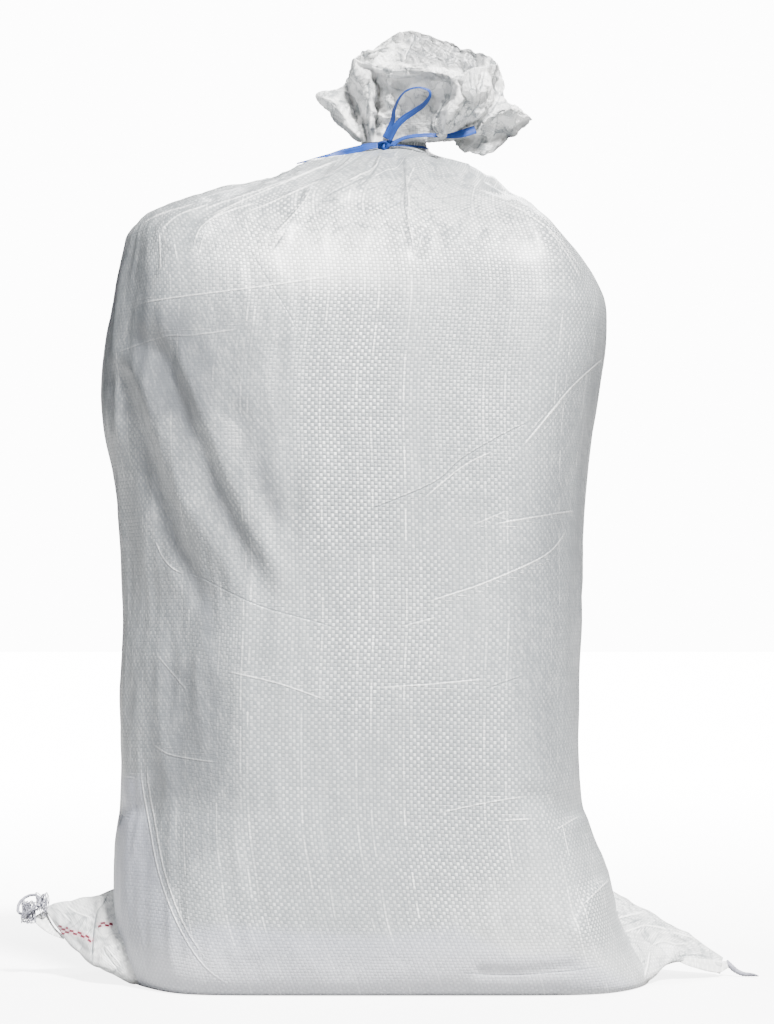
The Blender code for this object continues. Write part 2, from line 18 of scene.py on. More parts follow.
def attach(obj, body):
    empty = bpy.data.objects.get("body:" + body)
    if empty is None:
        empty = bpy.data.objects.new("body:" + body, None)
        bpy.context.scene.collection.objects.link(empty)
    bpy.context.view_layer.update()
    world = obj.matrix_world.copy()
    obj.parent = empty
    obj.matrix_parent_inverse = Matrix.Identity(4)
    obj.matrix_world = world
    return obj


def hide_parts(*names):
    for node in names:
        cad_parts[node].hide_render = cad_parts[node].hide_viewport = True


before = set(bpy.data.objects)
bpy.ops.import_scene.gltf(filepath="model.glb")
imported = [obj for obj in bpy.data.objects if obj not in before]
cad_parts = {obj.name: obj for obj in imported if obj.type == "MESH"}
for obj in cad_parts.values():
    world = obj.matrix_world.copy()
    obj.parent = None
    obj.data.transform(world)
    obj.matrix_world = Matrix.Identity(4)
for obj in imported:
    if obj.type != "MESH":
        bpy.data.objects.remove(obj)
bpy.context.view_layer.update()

bl_info = {
    "name": "Woven polypropylene sack",
    "version": (1, 0, 0),
    "blender": (4, 5, 0),
    "location": "3D View > Sidebar > Sack",
    "description": "A filled woven sack, tied with blue tape, on a plain floor",
    "category": "Object",
}

# The photograph's frame and the camera that matches it
IMAGE_WIDTH = 774
IMAGE_HEIGHT = 1024
CAMERA_PLACE = (0.0075, -2.2, 0.2475)
PIXEL_SIZE = 0.00075
HORIZON_ROW = 643
SENSOR = 36.0
PIXEL_SLOPE = PIXEL_SIZE / -CAMERA_PLACE[1]
TILT = math.atan((HORIZON_ROW - IMAGE_HEIGHT / 2) * PIXEL_SLOPE)

# How far apart the seeds of the noise lie
SEED_STEP = 7.31

# Body stations: image row, left and right edge columns, front and back depth,
# squareness of the front left, front right and back of the section
BODY_STATIONS = [
    (976, 127.7, 647.7, 0.126, 0.122, 3.0, 3.0, 3.0),
    (963, 121.0, 649.0, 0.137, 0.133, 2.9, 3.0, 2.9),
    (937, 115.7, 635.0, 0.146, 0.142, 2.7, 3.0, 2.7),
    (904, 111.7, 618.0, 0.151, 0.148, 2.6, 3.0, 2.5),
    (884, 110.5, 612.5, 0.152, 0.150, 2.5, 3.0, 2.4),
    (860, 112.0, 605.0, 0.154, 0.153, 2.4, 3.0, 2.4),
    (830, 114.5, 591.0, 0.156, 0.154, 2.3, 3.0, 2.3),
    (800, 118.5, 582.0, 0.157, 0.156, 2.3, 2.9, 2.3),
    (740, 119.5, 580.0, 0.159, 0.158, 2.3, 2.9, 2.3),
    (680, 120.0, 580.5, 0.160, 0.160, 2.3, 2.8, 2.3),
    (620, 122.5, 583.5, 0.160, 0.160, 2.3, 2.8, 2.3),
    (560, 120.5, 584.0, 0.160, 0.160, 2.3, 2.7, 2.3),
    (500, 117.5, 585.5, 0.160, 0.160, 2.3, 2.6, 2.3),
    (470, 114.0, 588.0, 0.159, 0.159, 2.3, 2.6, 2.3),
    (440, 106.5, 592.5, 0.157, 0.157, 2.3, 2.6, 2.3),
    (410, 102.0, 598.0, 0.155, 0.155, 2.3, 2.6, 2.3),
    (380, 100.5, 601.5, 0.152, 0.153, 2.3, 2.6, 2.3),
    (350, 103.0, 606.0, 0.149, 0.150, 2.3, 2.6, 2.3),
    (308, 109.0, 608.0, 0.142, 0.144, 2.3, 2.5, 2.3),
    (284, 113.0, 599.0, 0.137, 0.139, 2.3, 2.4, 2.3),
    (260, 118.5, 583.5, 0.129, 0.131, 2.3, 2.3, 2.3),
    (240, 123.0, 564.5, 0.120, 0.122, 2.2, 2.2, 2.2),
    (228, 130.0, 553.5, 0.113, 0.115, 2.1, 2.1, 2.1),
    (220, 139.0, 545.5, 0.108, 0.110, 2.1, 2.1, 2.1),
    (212, 152.0, 537.0, 0.102, 0.104, 2.0, 2.0, 2.0),
    (204, 169.5, 527.0, 0.095, 0.097, 2.0, 2.0, 2.0),
    (196, 194.5, 516.0, 0.088, 0.089, 2.0, 2.0, 2.0),
    (189.5, 222.0, 505.5, 0.080, 0.081, 2.0, 2.0, 2.0),
    (182.5, 246.0, 497.0, 0.072, 0.072, 2.0, 2.0, 2.0),
    (176, 268.0, 489.0, 0.063, 0.063, 2.0, 2.0, 2.0),
    (169, 291.0, 476.0, 0.053, 0.053, 2.0, 2.0, 2.0),
    (163, 318.0, 456.0, 0.042, 0.042, 2.0, 2.0, 2.0),
    (157, 344.0, 437.0, 0.030, 0.030, 2.0, 2.0, 2.0),
    (151, 360.5, 427.0, 0.0210, 0.0210, 2.0, 2.0, 2.0),
    (147, 361.5, 426.0, 0.0195, 0.0195, 2.0, 2.0, 2.0),
    (134, 361.5, 426.0, 0.0195, 0.0195, 2.0, 2.0, 2.0),
]

# Flat flanks of the front: image row, column where the left flank starts and the depth
# in front of the middle where it ends at the side, then the same for the right flank
FLANKS = [
    (995, 178, 0.050, 606, 0.070),
    (930, 190, 0.060, 592, 0.075),
    (860, 214, 0.070, 562, 0.085),
    (800, 230, 0.070, 545, 0.090),
    (700, 236, 0.068, 534, 0.092),
    (600, 240, 0.068, 532, 0.092),
    (500, 216, 0.070, 536, 0.090),
    (400, 186, 0.070, 552, 0.085),
    (320, 168, 0.066, 570, 0.080),
    (250, 168, 0.055, 548, 0.060),
]
FLANK_DEPTH = -0.13
FLANK_SHARPNESS = 14.0
FLANK_TOP = (0.545, 0.590)
BACK_CORNER = 0.80
SHOULDER_FOOT = 0.52
SHOULDER_DENSITY = 1.7
BODY_GRID = (268, 361)
BODY_SOFTENING = 10

# A fold of the left shoulder that has a crease along it
SHOULDER_LINE = [(258, 202), (223, 213), (203, 225), (196, 237), (193, 252)]

# Folds pressed into the front: shape, height, half width in pixels, and the pixels
# that the fold runs through. A lip rises slowly and drops sharply on its far side.
FRONT_FOLDS = [
    ("ridge", 0.0022, 16, [(250, 560), (238, 640), (236, 720), (238, 800), (236, 880)]),
    ("groove", 0.0058, 16, [(136, 318), (154, 354), (172, 392), (189, 432), (204, 470), (225, 516), (250, 566),
                            (284, 628)]),
    ("groove", 0.0048, 12, [(108, 350), (122, 395), (136, 436), (148, 470), (160, 508), (172, 541), (188, 574),
                            (214, 630)]),
    ("groove", 0.0026, 12, [(232, 400), (252, 445), (270, 500), (290, 545)]),
    ("ridge", 0.0026, 12, [(126, 340), (142, 390), (157, 434), (175, 482), (190, 508), (210, 540), (228, 570),
                           (256, 620)]),
    ("ridge", 0.0028, 12, [(178, 340), (198, 398), (217, 444), (235, 488), (254, 530), (274, 564), (306, 620)]),
    ("groove", 0.0022, 12, [(108, 812), (132, 808), (160, 812)]),
    ("groove", 0.0025, 13, [(515, 796), (550, 803), (590, 816)]),
    ("ridge", 0.0030, 12, [(575, 812), (596, 842), (612, 878)]),
    ("lip", 0.0030, 9, [(612, 872), (592, 893), (575, 930), (572, 958)]),
    ("lip", 0.0036, 5, [(384, 151), (377, 166), (369, 176), (355, 182), (332, 193), (321, 203)]),
    ("groove", 0.0024, 4, [(376, 166), (367, 180), (355, 189)]),
    ("lip", 0.0030, 5, [(366, 152), (346, 166), (327, 179), (311, 185), (287, 196), (262, 207)]),
    ("lip", 0.0034, 4.5, [(313, 187), (307, 197), (293, 215), (282, 227), (275, 237), (271, 252)]),
    ("ridge", 0.0018, 4, [(346, 157), (318, 168), (276, 186), (234, 204), (205, 220)]),
    ("groove", 0.0018, 4, [(340, 164), (297, 183), (262, 197), (225, 213)]),
    ("ridge", 0.0016, 4, [(322, 163), (297, 174), (262, 188), (220, 204), (180, 216), (159, 231), (160, 270)]),
    ("groove", 0.0016, 4, [(300, 169), (276, 177), (248, 187), (220, 196), (190, 207)]),
    ("lip", 0.0028, 5, SHOULDER_LINE),
    ("lip", 0.0030, 5, [(404, 152), (407, 166), (407, 190), (408, 215), (411, 239), (415, 256)]),
    ("groove", 0.0020, 5, [(396, 150), (392, 180), (388, 215)]),
    ("groove", 0.0018, 5, [(423, 225), (420, 243), (415, 262)]),
    ("groove", 0.0018, 6, [(422, 155), (434, 185), (440, 215)]),
    ("ridge", 0.0030, 12, [(510, 195), (539, 230), (571, 274), (587, 283)]),
    ("groove", 0.0026, 9, [(468, 166), (482, 170), (492, 180)]),
    ("groove", 0.0018, 6, [(467, 972), (528, 973), (599, 965)]),
    ("ridge", 0.0014, 5, [(366, 150), (354, 153), (342, 156), (330, 158.5), (319, 161), (308, 164),
                          (295, 168), (276, 174)]),
]

# Fine creases, drawn as thin lines in three layers so that crossing ones stay apart; each is a small
# fold with a painted highlight and a painted shade line along it: strength, below 0 for a dark one,
# and the pixels that each runs through
CREASES_A = [
    (-0.9, [(384, 152), (377, 166), (369, 176), (355, 182), (332, 193), (321, 203)]),
    (0.9, [(346, 157), (318, 168), (276, 186), (234, 204), (205, 218)]),
    (0.9, [(159, 231), (160, 252), (160, 272)]),
    (0.9, SHOULDER_LINE),
    (0.8, [(312, 186), (305, 200), (292, 216), (281, 228), (273, 240)]),
    (0.5, [(408, 168), (406.5, 182), (409, 200), (408, 216), (411.5, 236), (415, 254)]),
    (0.6, [(500, 200), (530, 215), (560, 240), (585, 275)]),
    (0.65, [(130, 312), (152, 301), (264, 286), (350, 273)]),
    (0.8, [(155, 540), (162, 556), (172, 568), (184, 574)]),
    (0.6, [(225, 671), (280, 684), (331, 702)]),
    (1.0, [(606, 356), (571, 388), (537, 429)]),
    (1.0, [(495, 450), (462, 467), (422, 500)]),
    (1.0, [(569, 527), (546, 555), (487, 582), (452, 594), (420, 604)]),
    (0.7, [(487, 679), (422, 685), (371, 688)]),
    (0.6, [(434, 814), (491, 802), (530, 796)]),
    (0.7, [(151, 743), (168, 754), (192, 759), (221, 763)]),
    (1.0, [(141, 758), (142, 782), (149, 823), (159, 874), (178, 925), (204, 966), (237, 990)]),
    (0.7, [(583, 905), (611, 878)]),
    (-0.45, [(455, 972), (475, 974), (516, 975), (570, 971), (605, 966)]),
]
CREASES_B = [
    (0.9, [(380, 160), (372, 169), (362, 174), (345, 182)]),
    (-0.8, [(298, 169), (276, 176), (248, 186), (220, 194), (190, 204)]),
    (0.9, [(327, 178), (311, 184), (287, 195), (262, 206), (240, 214)]),
    (-0.8, [(291, 222), (284, 234), (272, 252)]),
    (-0.7, [(422, 229), (419, 243), (415, 262)]),
    (0.8, [(209, 204), (180, 214), (166, 225), (159, 232)]),
    (-0.4, [(246, 243), (272, 286), (289, 314), (306, 346)]),
    (0.45, [(113, 354), (162, 337), (193, 335), (247, 328)]),
    (-0.55, [(182, 571), (200, 577), (233, 594), (266, 608), (310, 620), (349, 632)]),
    (0.5, [(157, 655), (188, 692)]),
    (0.9, [(562, 400), (522, 447)]),
    (-0.9, [(540, 417), (503, 435), (462, 459), (432, 484), (354, 516)]),
    (0.6, [(438, 617), (401, 627)]),
    (0.5, [(507, 511), (473, 525)]),
    (0.7, [(579, 510), (518, 520), (491, 525)]),
    (-0.6, [(524, 676), (483, 690)]),
    (0.9, [(147, 758), (148, 782), (155, 823), (165, 874), (184, 925), (210, 966)]),
    (0.5, [(123, 775), (139, 780)]),
    (0.6, [(499, 821), (532, 819)]),
    (0.5, [(554, 831), (581, 815)]),
]
CREASES_C = [
    (-0.7, [(366, 153), (346, 166), (327, 177), (312, 182)]),
    (0.8, [(335, 160), (297, 176), (262, 189), (220, 203), (196, 212)]),
    (0.7, [(196, 203), (160, 214), (140, 225)]),
    (-0.25, [(403, 160), (405, 184), (404, 204), (408, 230)]),
    (-0.5, [(376, 168), (367, 180), (355, 189)]),
    (0.8, [(415, 166), (410, 176), (408, 184)]),
    (0.6, [(546, 226), (566, 252), (583, 282)]),
    (0.5, [(205, 232), (201, 244), (199, 256)]),
    (-0.8, [(119, 811), (124, 816), (130, 818)]),
]
CREASE_REACH = 0.005

# Where the weave's relief and its painted glints stand out: middle column and row, half width, half height, strength
WEAVE_GLINT_ZONES = [
    (340, 235, 130, 50, 0.9),
    (520, 240, 70, 60, 0.7),
    (350, 420, 62, 170, 1.0),
    (470, 400, 60, 140, 0.6),
    (380, 640, 80, 110, 0.75),
    (455, 800, 70, 150, 0.7),
    (595, 915, 22, 40, 0.7),
    (240, 270, 60, 60, 0.5),
]

# Painted shade, strongest on the flanks that turn from the light: strength, softness of the edge, and corners in
# pixels
PAINTED_SHADE_ZONES = [
    (0.64, 18.0, [(90, 240), (138, 244), (156, 274), (164, 320), (172, 400), (160, 426), (90, 426)]),
    (0.80, 26.0, [(140, 300), (190, 304), (214, 340), (228, 400), (210, 424), (190, 430), (150, 420)]),
    (0.44, 38.0, [(150, 270), (240, 292), (276, 340), (286, 420), (284, 500), (256, 580), (150, 610)]),
    (0.42, 14.0, [(90, 244), (150, 244), (160, 300), (170, 380), (215, 480), (240, 560), (228, 620), (222, 700),
                  (226, 790), (215, 850), (170, 890), (90, 890)]),
    (0.60, 16.0, [(132, 650), (226, 656), (230, 700), (232, 770), (220, 806), (140, 806)]),
    (0.28, 26.0, [(200, 640), (256, 650), (256, 800), (200, 860), (180, 800)]),
    (0.54, 30.0, [(640, 320), (600, 330), (568, 380), (550, 440), (530, 500), (518, 640), (530, 760), (560, 800),
                  (600, 830), (640, 830)]),
]

# Painted shade in long hollows, and painted light on the backs of the folds beside them: strength,
# half width in pixels, and the pixels that each runs through
PAINTED_SHADE_STREAKS = [
    (0.44, 11.0, [(148, 345), (165, 370), (180, 396), (193, 431), (208, 470), (229, 515), (254, 566), (274, 604)]),
    (0.40, 9.0, [(126, 400), (141, 439), (152, 470), (163, 508), (176, 541), (191, 572), (206, 610), (212, 690),
                 (211, 760)]),
    (0.26, 9.0, [(238, 420), (256, 462), (272, 505), (286, 545)]),
    (0.18, 8.0, [(184, 640), (190, 700), (186, 760), (196, 800)]),
    (0.22, 6.0, [(150, 250), (146, 300), (142, 350), (150, 390)]),
    (0.20, 6.0, [(300, 440), (302, 500), (296, 560)]),
]
PAINTED_LIGHT_STREAKS = [
    (0.32, 8.0, [(198, 404), (211, 445), (238, 500), (262, 545), (276, 575)]),
    (0.16, 6.0, [(170, 470), (186, 512), (200, 548), (216, 590)]),
    (0.22, 9.0, [(252, 480), (262, 520), (272, 560), (292, 600)]),
]

# Painted light where the cloth is brightest: middle column and row, half width, half height, strength
PAINTED_LIGHT_ZONES = [
    (345, 262, 78, 30, 0.50),
    (296, 246, 66, 26, 0.34),
    (400, 205, 110, 30, 0.30),
    (500, 225, 60, 26, 0.14),
    (400, 620, 90, 90, 0.06),
    (520, 915, 90, 60, 0.18),
    (380, 985, 260, 34, 0.50),
    (165, 968, 60, 24, 0.50),
    (510, 968, 90, 24, 0.22),
]

# A painted bluish reflection of the floor, on the part low on the front that faces the floor
FLOOR_REFLECTION_ZONE = [
    (100, 775), (139, 778), (145, 818), (153, 851), (163, 890), (179, 928), (230, 926), (300, 932), (380, 936),
    (455, 928), (485, 941), (516, 953), (568, 953), (599, 967), (650, 990), (380, 1010), (100, 1000),
]
FLOOR_REFLECTION_STRENGTH = 0.45

# Relief of the body in metres: sizes and heights of its soft swells, of the left side's
# upright wrinkles and of the back's folds, and the heights where they fade at the neck
SWELLS = [(0.11, 1, 0.0024), (0.045, 2, 0.0007)]
UPRIGHT = (1.0, 1.0, 0.22)
WRINKLE_SIZE = 0.030
WRINKLE_HEIGHTS = (0.0004, 0.0016)
LEFT_SIDE = (-0.10, 0.02)
BACK_STRETCH = (1.0, 1.0, 0.35)
BACK_SIZE = 0.07
BACK_HEIGHT = 0.004
FLOOR_FADE = (0.0, 0.03)
SWELL_TOP = (0.598, 0.612)
FOLD_TOP = (0.602, 0.614)

# Pleats round the neck: radius and stretch of the noise that makes them, its size and
# height, where they begin and end from the neck's middle, and the height they start at
PLEAT_RADIUS = 0.06
PLEAT_STRETCH = 0.16
PLEAT_SIZE = 0.016
PLEAT_HEIGHT = 0.0042
PLEAT_START = (0.024, 0.060)
PLEAT_END = (0.085, 0.17)
PLEAT_FOOT = (0.45, 0.55)

# Frill: columns of cloth from the neck to the rim, round the mouth from the left wing
# along the front. Each point is a pixel column, a pixel row and a depth in millimetres.
FRILL_COLUMNS = [
    [(357, 141, 4), (350, 134, 3), (343, 125, 2), (334, 115, 2), (326, 106, 2), (320, 99, 2), (318, 94, 2)],
    [(359, 142, -8), (355, 138, -12), (348, 124, -16), (338, 110, -18), (329, 101, -18), (322, 96, -14),
     (319, 93, -6)],
    [(363, 142, -16), (361, 136, -17), (356, 120, -9), (350, 106, -6), (344, 97, -6), (340, 92, -6), (338, 88, -2)],
    [(365, 142, -18), (363, 134, -18), (358, 114, -9), (353, 100, -5), (351, 90, -4), (350, 84, -4), (349, 80, -4)],
    [(368, 142, -19), (366, 132, -16), (363, 112, -12), (360, 96, -14), (357, 84, -18), (354, 72, -20),
     (352, 60, -18)],
    [(371, 142, -21), (371, 134, -24), (370, 116, -27), (369, 100, -28), (367, 87, -28), (366, 76, -26),
     (366, 64, -22)],
    [(375, 142, -20), (376, 134, -18), (376, 116, -17), (376, 98, -17), (376, 86, -20), (377, 76, -24),
     (378, 66, -26)],
    [(380, 142, -22), (383, 135, -23), (385, 118, -25), (387, 101, -28), (388, 89, -32), (390, 78, -38),
     (392, 67, -36)],
    [(386, 142, -22), (393, 136, -22), (399, 120, -24), (403, 103, -29), (406, 90, -34), (408, 78, -42),
     (411, 68, -42)],
    [(393, 142, -22), (404, 137, -25), (412, 121, -28), (418, 104, -32), (422, 91, -36), (426, 80, -46),
     (430, 70, -48)],
    [(402, 142, -21), (418, 138, -24), (428, 122, -27), (434, 105, -31), (439, 92, -36), (443, 83, -48),
     (448, 75, -52)],
    [(410, 142, -19), (428, 139, -25), (440, 128, -32), (444, 112, -36), (449, 97, -42), (454, 86, -54),
     (460, 78, -56)],
    [(413, 142, -17), (430, 141, -27), (444, 135, -46), (446, 120, -54), (455, 100, -58), (464, 84, -58),
     (470, 70, -50)],
    [(417, 142, -14), (436, 141, -22), (459, 131, -22), (463, 113, -46), (473, 95, -56), (481, 79, -50),
     (486, 65, -38)],
    [(421, 142, -10), (444, 140, -16), (470, 129, -20), (479, 112, -38), (487, 93, -44), (493, 79, -36),
     (496, 64, -24)],
    [(425, 142, -5), (451, 138, -10), (476, 126, -26), (490, 110, -28), (497, 95, -26), (500, 80, -18),
     (498, 66, -8)],
    [(426, 142, -2), (454, 138, -9), (480, 128, -22), (493, 116, -27), (500, 107, -24), (503, 100, -18),
     (503, 94, -12)],
    [(427, 142, 0), (456, 137, -8), (486, 124, -22), (506, 112, -24), (518, 110, -22), (526, 114, -16),
     (530, 118, -12)],
    [(428, 142, 5), (458, 140, 0), (482, 136, -8), (502, 136, -10), (514, 131, -8), (524, 124, -6), (529, 120, -4)],
    [(427, 141, 9), (452, 139, 6), (458, 146, 0), (466, 151, -6), (476, 154, -8), (486, 152, -4), (498, 144, 2)],
    [(425, 140, 13), (448, 134, 16), (458, 130, 16), (470, 126, 16), (484, 120, 18), (496, 112, 20), (504, 104, 22)],
    [(420, 140, 17), (442, 124, 24), (458, 107, 28), (474, 92, 32), (486, 80, 34), (494, 72, 36), (500, 66, 36)],
    [(412, 139, 20), (430, 116, 28), (446, 96, 32), (460, 79, 36), (470, 66, 38), (476, 58, 40), (478, 53, 40)],
    [(402, 138, 22), (416, 112, 30), (428, 88, 34), (437, 68, 38), (443, 54, 42), (447, 46, 44), (448, 42, 44)],
    [(392, 138, 22), (399, 110, 30), (407, 82, 35), (413, 60, 40), (416, 46, 44), (416, 36, 46), (414, 31, 46)],
    [(381, 138, 21), (380, 110, 28), (383, 86, 34), (388, 64, 40), (393, 50, 46), (397, 40, 48), (400, 32, 48)],
    [(372, 139, 17), (364, 112, 22), (361, 90, 28), (363, 74, 34), (368, 62, 38), (374, 52, 40), (378, 44, 40)],
    [(364, 140, 12), (355, 116, 18), (350, 100, 20), (349, 88, 20), (350, 78, 19), (351.5, 68, 17), (353, 60, 13)],
    [(360, 141, 8), (352, 128, 11), (347, 115, 12), (345, 105, 12), (346, 96, 12), (347, 88, 11), (349, 82, 10)],
]
FRONT_ENDS = (18.4, 19.0)
FRONT_STARTS = (28.2, 28.8)
FRILL_GRID = (84, 460)
FRILL_FLAT = (1.10, 0.145)

# The frill's loose cloth: where it starts, and facets by size, seed and height
FRILL_LOOSE = (0.05, 0.30)
FRILL_FACETS = [(0.030, 31, 0.0040), (0.014, 37, 0.0012)]
FRILL_LIFT = 0.0022

# The smooth hollow of the frill's front: between which columns, and up to which share
PANEL_STARTS = (7.6, 8.4)
PANEL_ENDS = (10.6, 11.4)
PANEL_TOP = (0.72, 0.85)

# Lines of the frill's front that carry both a fold and a crease
INNER_LINE = [(460, 76.6), (460, 88.9), (466, 98.8), (463, 107.2), (455.4, 118), (453, 133.3)]
MIDDLE_LINE = [(486, 62.9), (482.9, 78.2), (480.6, 88.9), (477.6, 105.7), (460.7, 124)]
OUTER_LINE = [(492, 66), (495.9, 78.2), (500.5, 88.9), (499, 99.6), (488.3, 114.9), (474.5, 127)]
LEFT_LINE = [(368.1, 78.2), (368.9, 96.5), (367.4, 118), (370.4, 141)]
WING_LINE = [(330, 113), (344, 124), (356, 134), (362, 140)]
LOBE_LINE = [(444, 99.6), (440.8, 110.3), (434.7, 121), (435.5, 128.7), (442.4, 134)]

# Where the front and the far wall of the frill lie in each other's shade: strength,
# softness of the edge in pixels, and corners
FRILL_FRONT_SHADE = [
    (0.14, 1.5, [(352.8, 80.5), (345.9, 85.8), (341, 99.6), (347.5, 105.7), (352.8, 118), (358.9, 125.6),
                 (361.2, 136.3),
                 (362.8, 141), (368, 141), (367.4, 127), (366.6, 111.8), (368.1, 93.5), (367.4, 78.2),
                 (358.9, 83.5)]),
    (0.55, 1.8, [(318.4, 102.7), (321.4, 112), (335.2, 124), (341.3, 137), (346, 152), (364, 152), (364.3, 140.2),
                 (352, 130.2), (341.3, 119.5), (330.6, 110.3)]),
    (0.44, 1.5, [(367.4, 73.6), (373.5, 67.5), (379.6, 73.6), (385.7, 78.2), (398, 81.2), (407.1, 85.8), (405.6, 92),
                 (399.5, 96.5), (391.8, 92), (385.7, 90.4), (382.7, 92), (378.1, 87.4), (373.5, 81.2)]),
    (0.24, 2.0, [(401, 105.7), (405.6, 98.1), (416.3, 93.5), (431.6, 91), (442.4, 87.4), (444.6, 96.5),
                 (442.4, 105.7),
                 (437.8, 114.9), (434.7, 124), (434.7, 131.7), (419.4, 132.5), (398, 134.8), (390.3, 137.9),
                 (391.8, 130.2), (398, 121)]),
    (0.50, 1.5, [(391.8, 139.4), (407, 137.9), (451.5, 134.8), (440, 147), (427, 153), (398, 152)]),
    (0.45, 1.8, [(398, 66), (427, 67.5), (454.6, 70.5), (450, 76.6), (437.8, 81.2), (425.5, 78.2), (407, 71.5)]),
    (0.55, 1.5, [(492.9, 139.4), (495.9, 131.7), (511.2, 128.7), (521.9, 121), (532, 118), (522, 130), (512, 139),
                 (499, 149), (490, 150)]),
    (0.30, 1.5, [(452, 136.3), (471.4, 134), (480.6, 140.9), (484, 150), (470, 157), (452, 155)]),
    (0.50, 3.0, [(398, 118), (416, 112), (434, 112), (434.7, 131.7), (392, 137), (394, 126)]),
    (0.32, 1.5, [(369, 96), (377, 96), (378, 120), (376, 140), (370, 140)]),
    (0.20, 3.0, [(442.4, 87.4), (450, 81.2), (457.7, 78.2), (459.2, 92), (465.3, 99.6), (462.3, 111.8), (453, 118),
                 (447, 105.7)]),
]
FRILL_FAR_SHADE = [
    (0.66, 1.8, [(404, 64), (413.3, 47.6), (416, 30), (430, 36), (450, 40), (486, 52), (486, 66), (468, 70),
                 (446, 68),
                 (427, 66)]),
    (0.40, 2.0, [(393.4, 30), (413.3, 30), (414.8, 39.9), (410.2, 46), (398, 40)]),
]

# Creases of the frill, as for the body, on its front and its far wall
FRILL_FRONT_CREASES = [
    (-0.9, [(353.6, 57.5), (365.8, 62.1), (373.5, 65.9), (385.7, 69.7), (407, 69), (427, 69.7), (454.6, 70.5)]),
    (-0.8, INNER_LINE),
    (-0.7, MIDDLE_LINE),
    (-0.7, OUTER_LINE),
    (-0.9, LEFT_LINE),
    (-0.9, [(338.3, 101), (346, 103.4)]),
    (-0.5, [(390.3, 91.9), (394.9, 99.6), (391.8, 108.8)]),
    (0.9, [(385.7, 74), (407, 74.6), (422.5, 73.8)]),
    (0.9, [(462, 146), (476, 150), (486, 152)]),
    (-0.6, [(497.5, 111.8), (495.9, 127), (489.8, 147)]),
    (-0.5, [(322, 97), (336, 90), (345, 86)]),
    (-0.5, [(383, 119), (386, 128), (383, 140)]),
]
FRILL_FRONT_CREASES_B = [
    (-0.9, LOBE_LINE + [(453, 134.8)]),
    (-0.6, [(375, 81.2), (375.8, 93.5), (373.5, 111.8), (372.7, 141)]),
    (0.9, [(497.5, 105.7), (489.8, 118), (480.6, 125.6), (478, 132)]),
    (0.8, [(371.5, 88), (371.5, 110), (370.5, 130)]),
    (-0.5, [(382.7, 77), (399.5, 77.8), (416.3, 77)]),
    (0.7, WING_LINE),
    (0.6, [(455, 80), (452, 95), (448, 110)]),
    (-0.5, [(469, 70), (470, 84), (474, 97)]),
    (0.7, [(489, 74), (489, 90), (484, 108), (470, 124)]),
    (-0.5, [(505, 108), (515, 112), (526, 118)]),
    (-0.4, [(352, 88), (349, 98), (354, 112), (362, 126)]),
]
FRILL_FAR_CREASES = [
    (-0.9, [(414.8, 30), (414, 39.9), (409.4, 49), (405.6, 59.8), (404, 66)]),
    (-0.7, [(353.6, 56.7), (364.3, 50.6), (378, 46.8), (391.8, 36.8)]),
    (-0.7, [(371.9, 62.9), (375, 56.7), (385.7, 52.1), (395, 51)]),
    (0.9, [(420.9, 46), (430, 53.7), (445.4, 61.3)]),
    (0.9, [(431.6, 41.4), (446.9, 50.6), (468.4, 59.8)]),
    (-0.5, [(440, 46), (458, 53), (478, 58)]),
    (0.7, [(373.5, 63.6), (399.5, 65.5), (427, 64.4), (453, 67.5)]),
]
FRILL_FAR_CREASES_B = [
    (-0.7, [(359.7, 58.3), (371.9, 52.9), (382.7, 49.8), (391.8, 47.6)]),
    (0.8, [(366, 52), (380, 48.6), (396, 45)]),
    (0.8, [(416.3, 55.2), (430, 61.3), (437.8, 64.4)]),
    (-0.5, [(388, 60), (398, 54), (408, 47)]),
    (0.8, [(411, 33), (410.5, 44), (404, 58)]),
    (-0.5, [(424, 40), (440, 52), (462, 62)]),
]

# Folds of the frill's front, in the terms of the body's folds
FRILL_FOLDS = [
    ("lip", 0.0030, 3.0, [(353.6, 59), (365.8, 64), (373.5, 68), (385.7, 71.5), (407, 71), (427, 71.5), (454.6, 72)]),
    ("groove", 0.0030, 3.0, INNER_LINE),
    ("groove", 0.0026, 3.0, MIDDLE_LINE),
    ("groove", 0.0026, 3.0, OUTER_LINE),
    ("ridge", 0.0024, 3.0, [(470, 70), (472, 90), (470, 108), (462, 122)]),
    ("ridge", 0.0024, 2.5, [(488, 74), (489, 92), (484, 110), (474, 122)]),
    ("groove", 0.0030, 2.5, LEFT_LINE),
    ("ridge", 0.0026, 2.5, [(372, 80), (372.5, 96.5), (371, 118), (372, 141)]),
    ("groove", 0.0022, 2.0, [(376.5, 81.2), (377, 93.5), (375, 111.8), (374.7, 141)]),
    ("groove", 0.0018, 4.0, [(382.7, 77.5), (399.5, 78.5), (416.3, 77.5)]),
    ("ridge", 0.0018, 3.0, [(385.7, 74), (407, 74.6), (440, 74)]),
    ("lip", 0.0026, 3.0, LOBE_LINE),
    ("ridge", 0.0026, 3.0, WING_LINE),
    ("ridge", 0.0020, 4.0, [(388, 92), (390, 110), (386, 130)]),
]

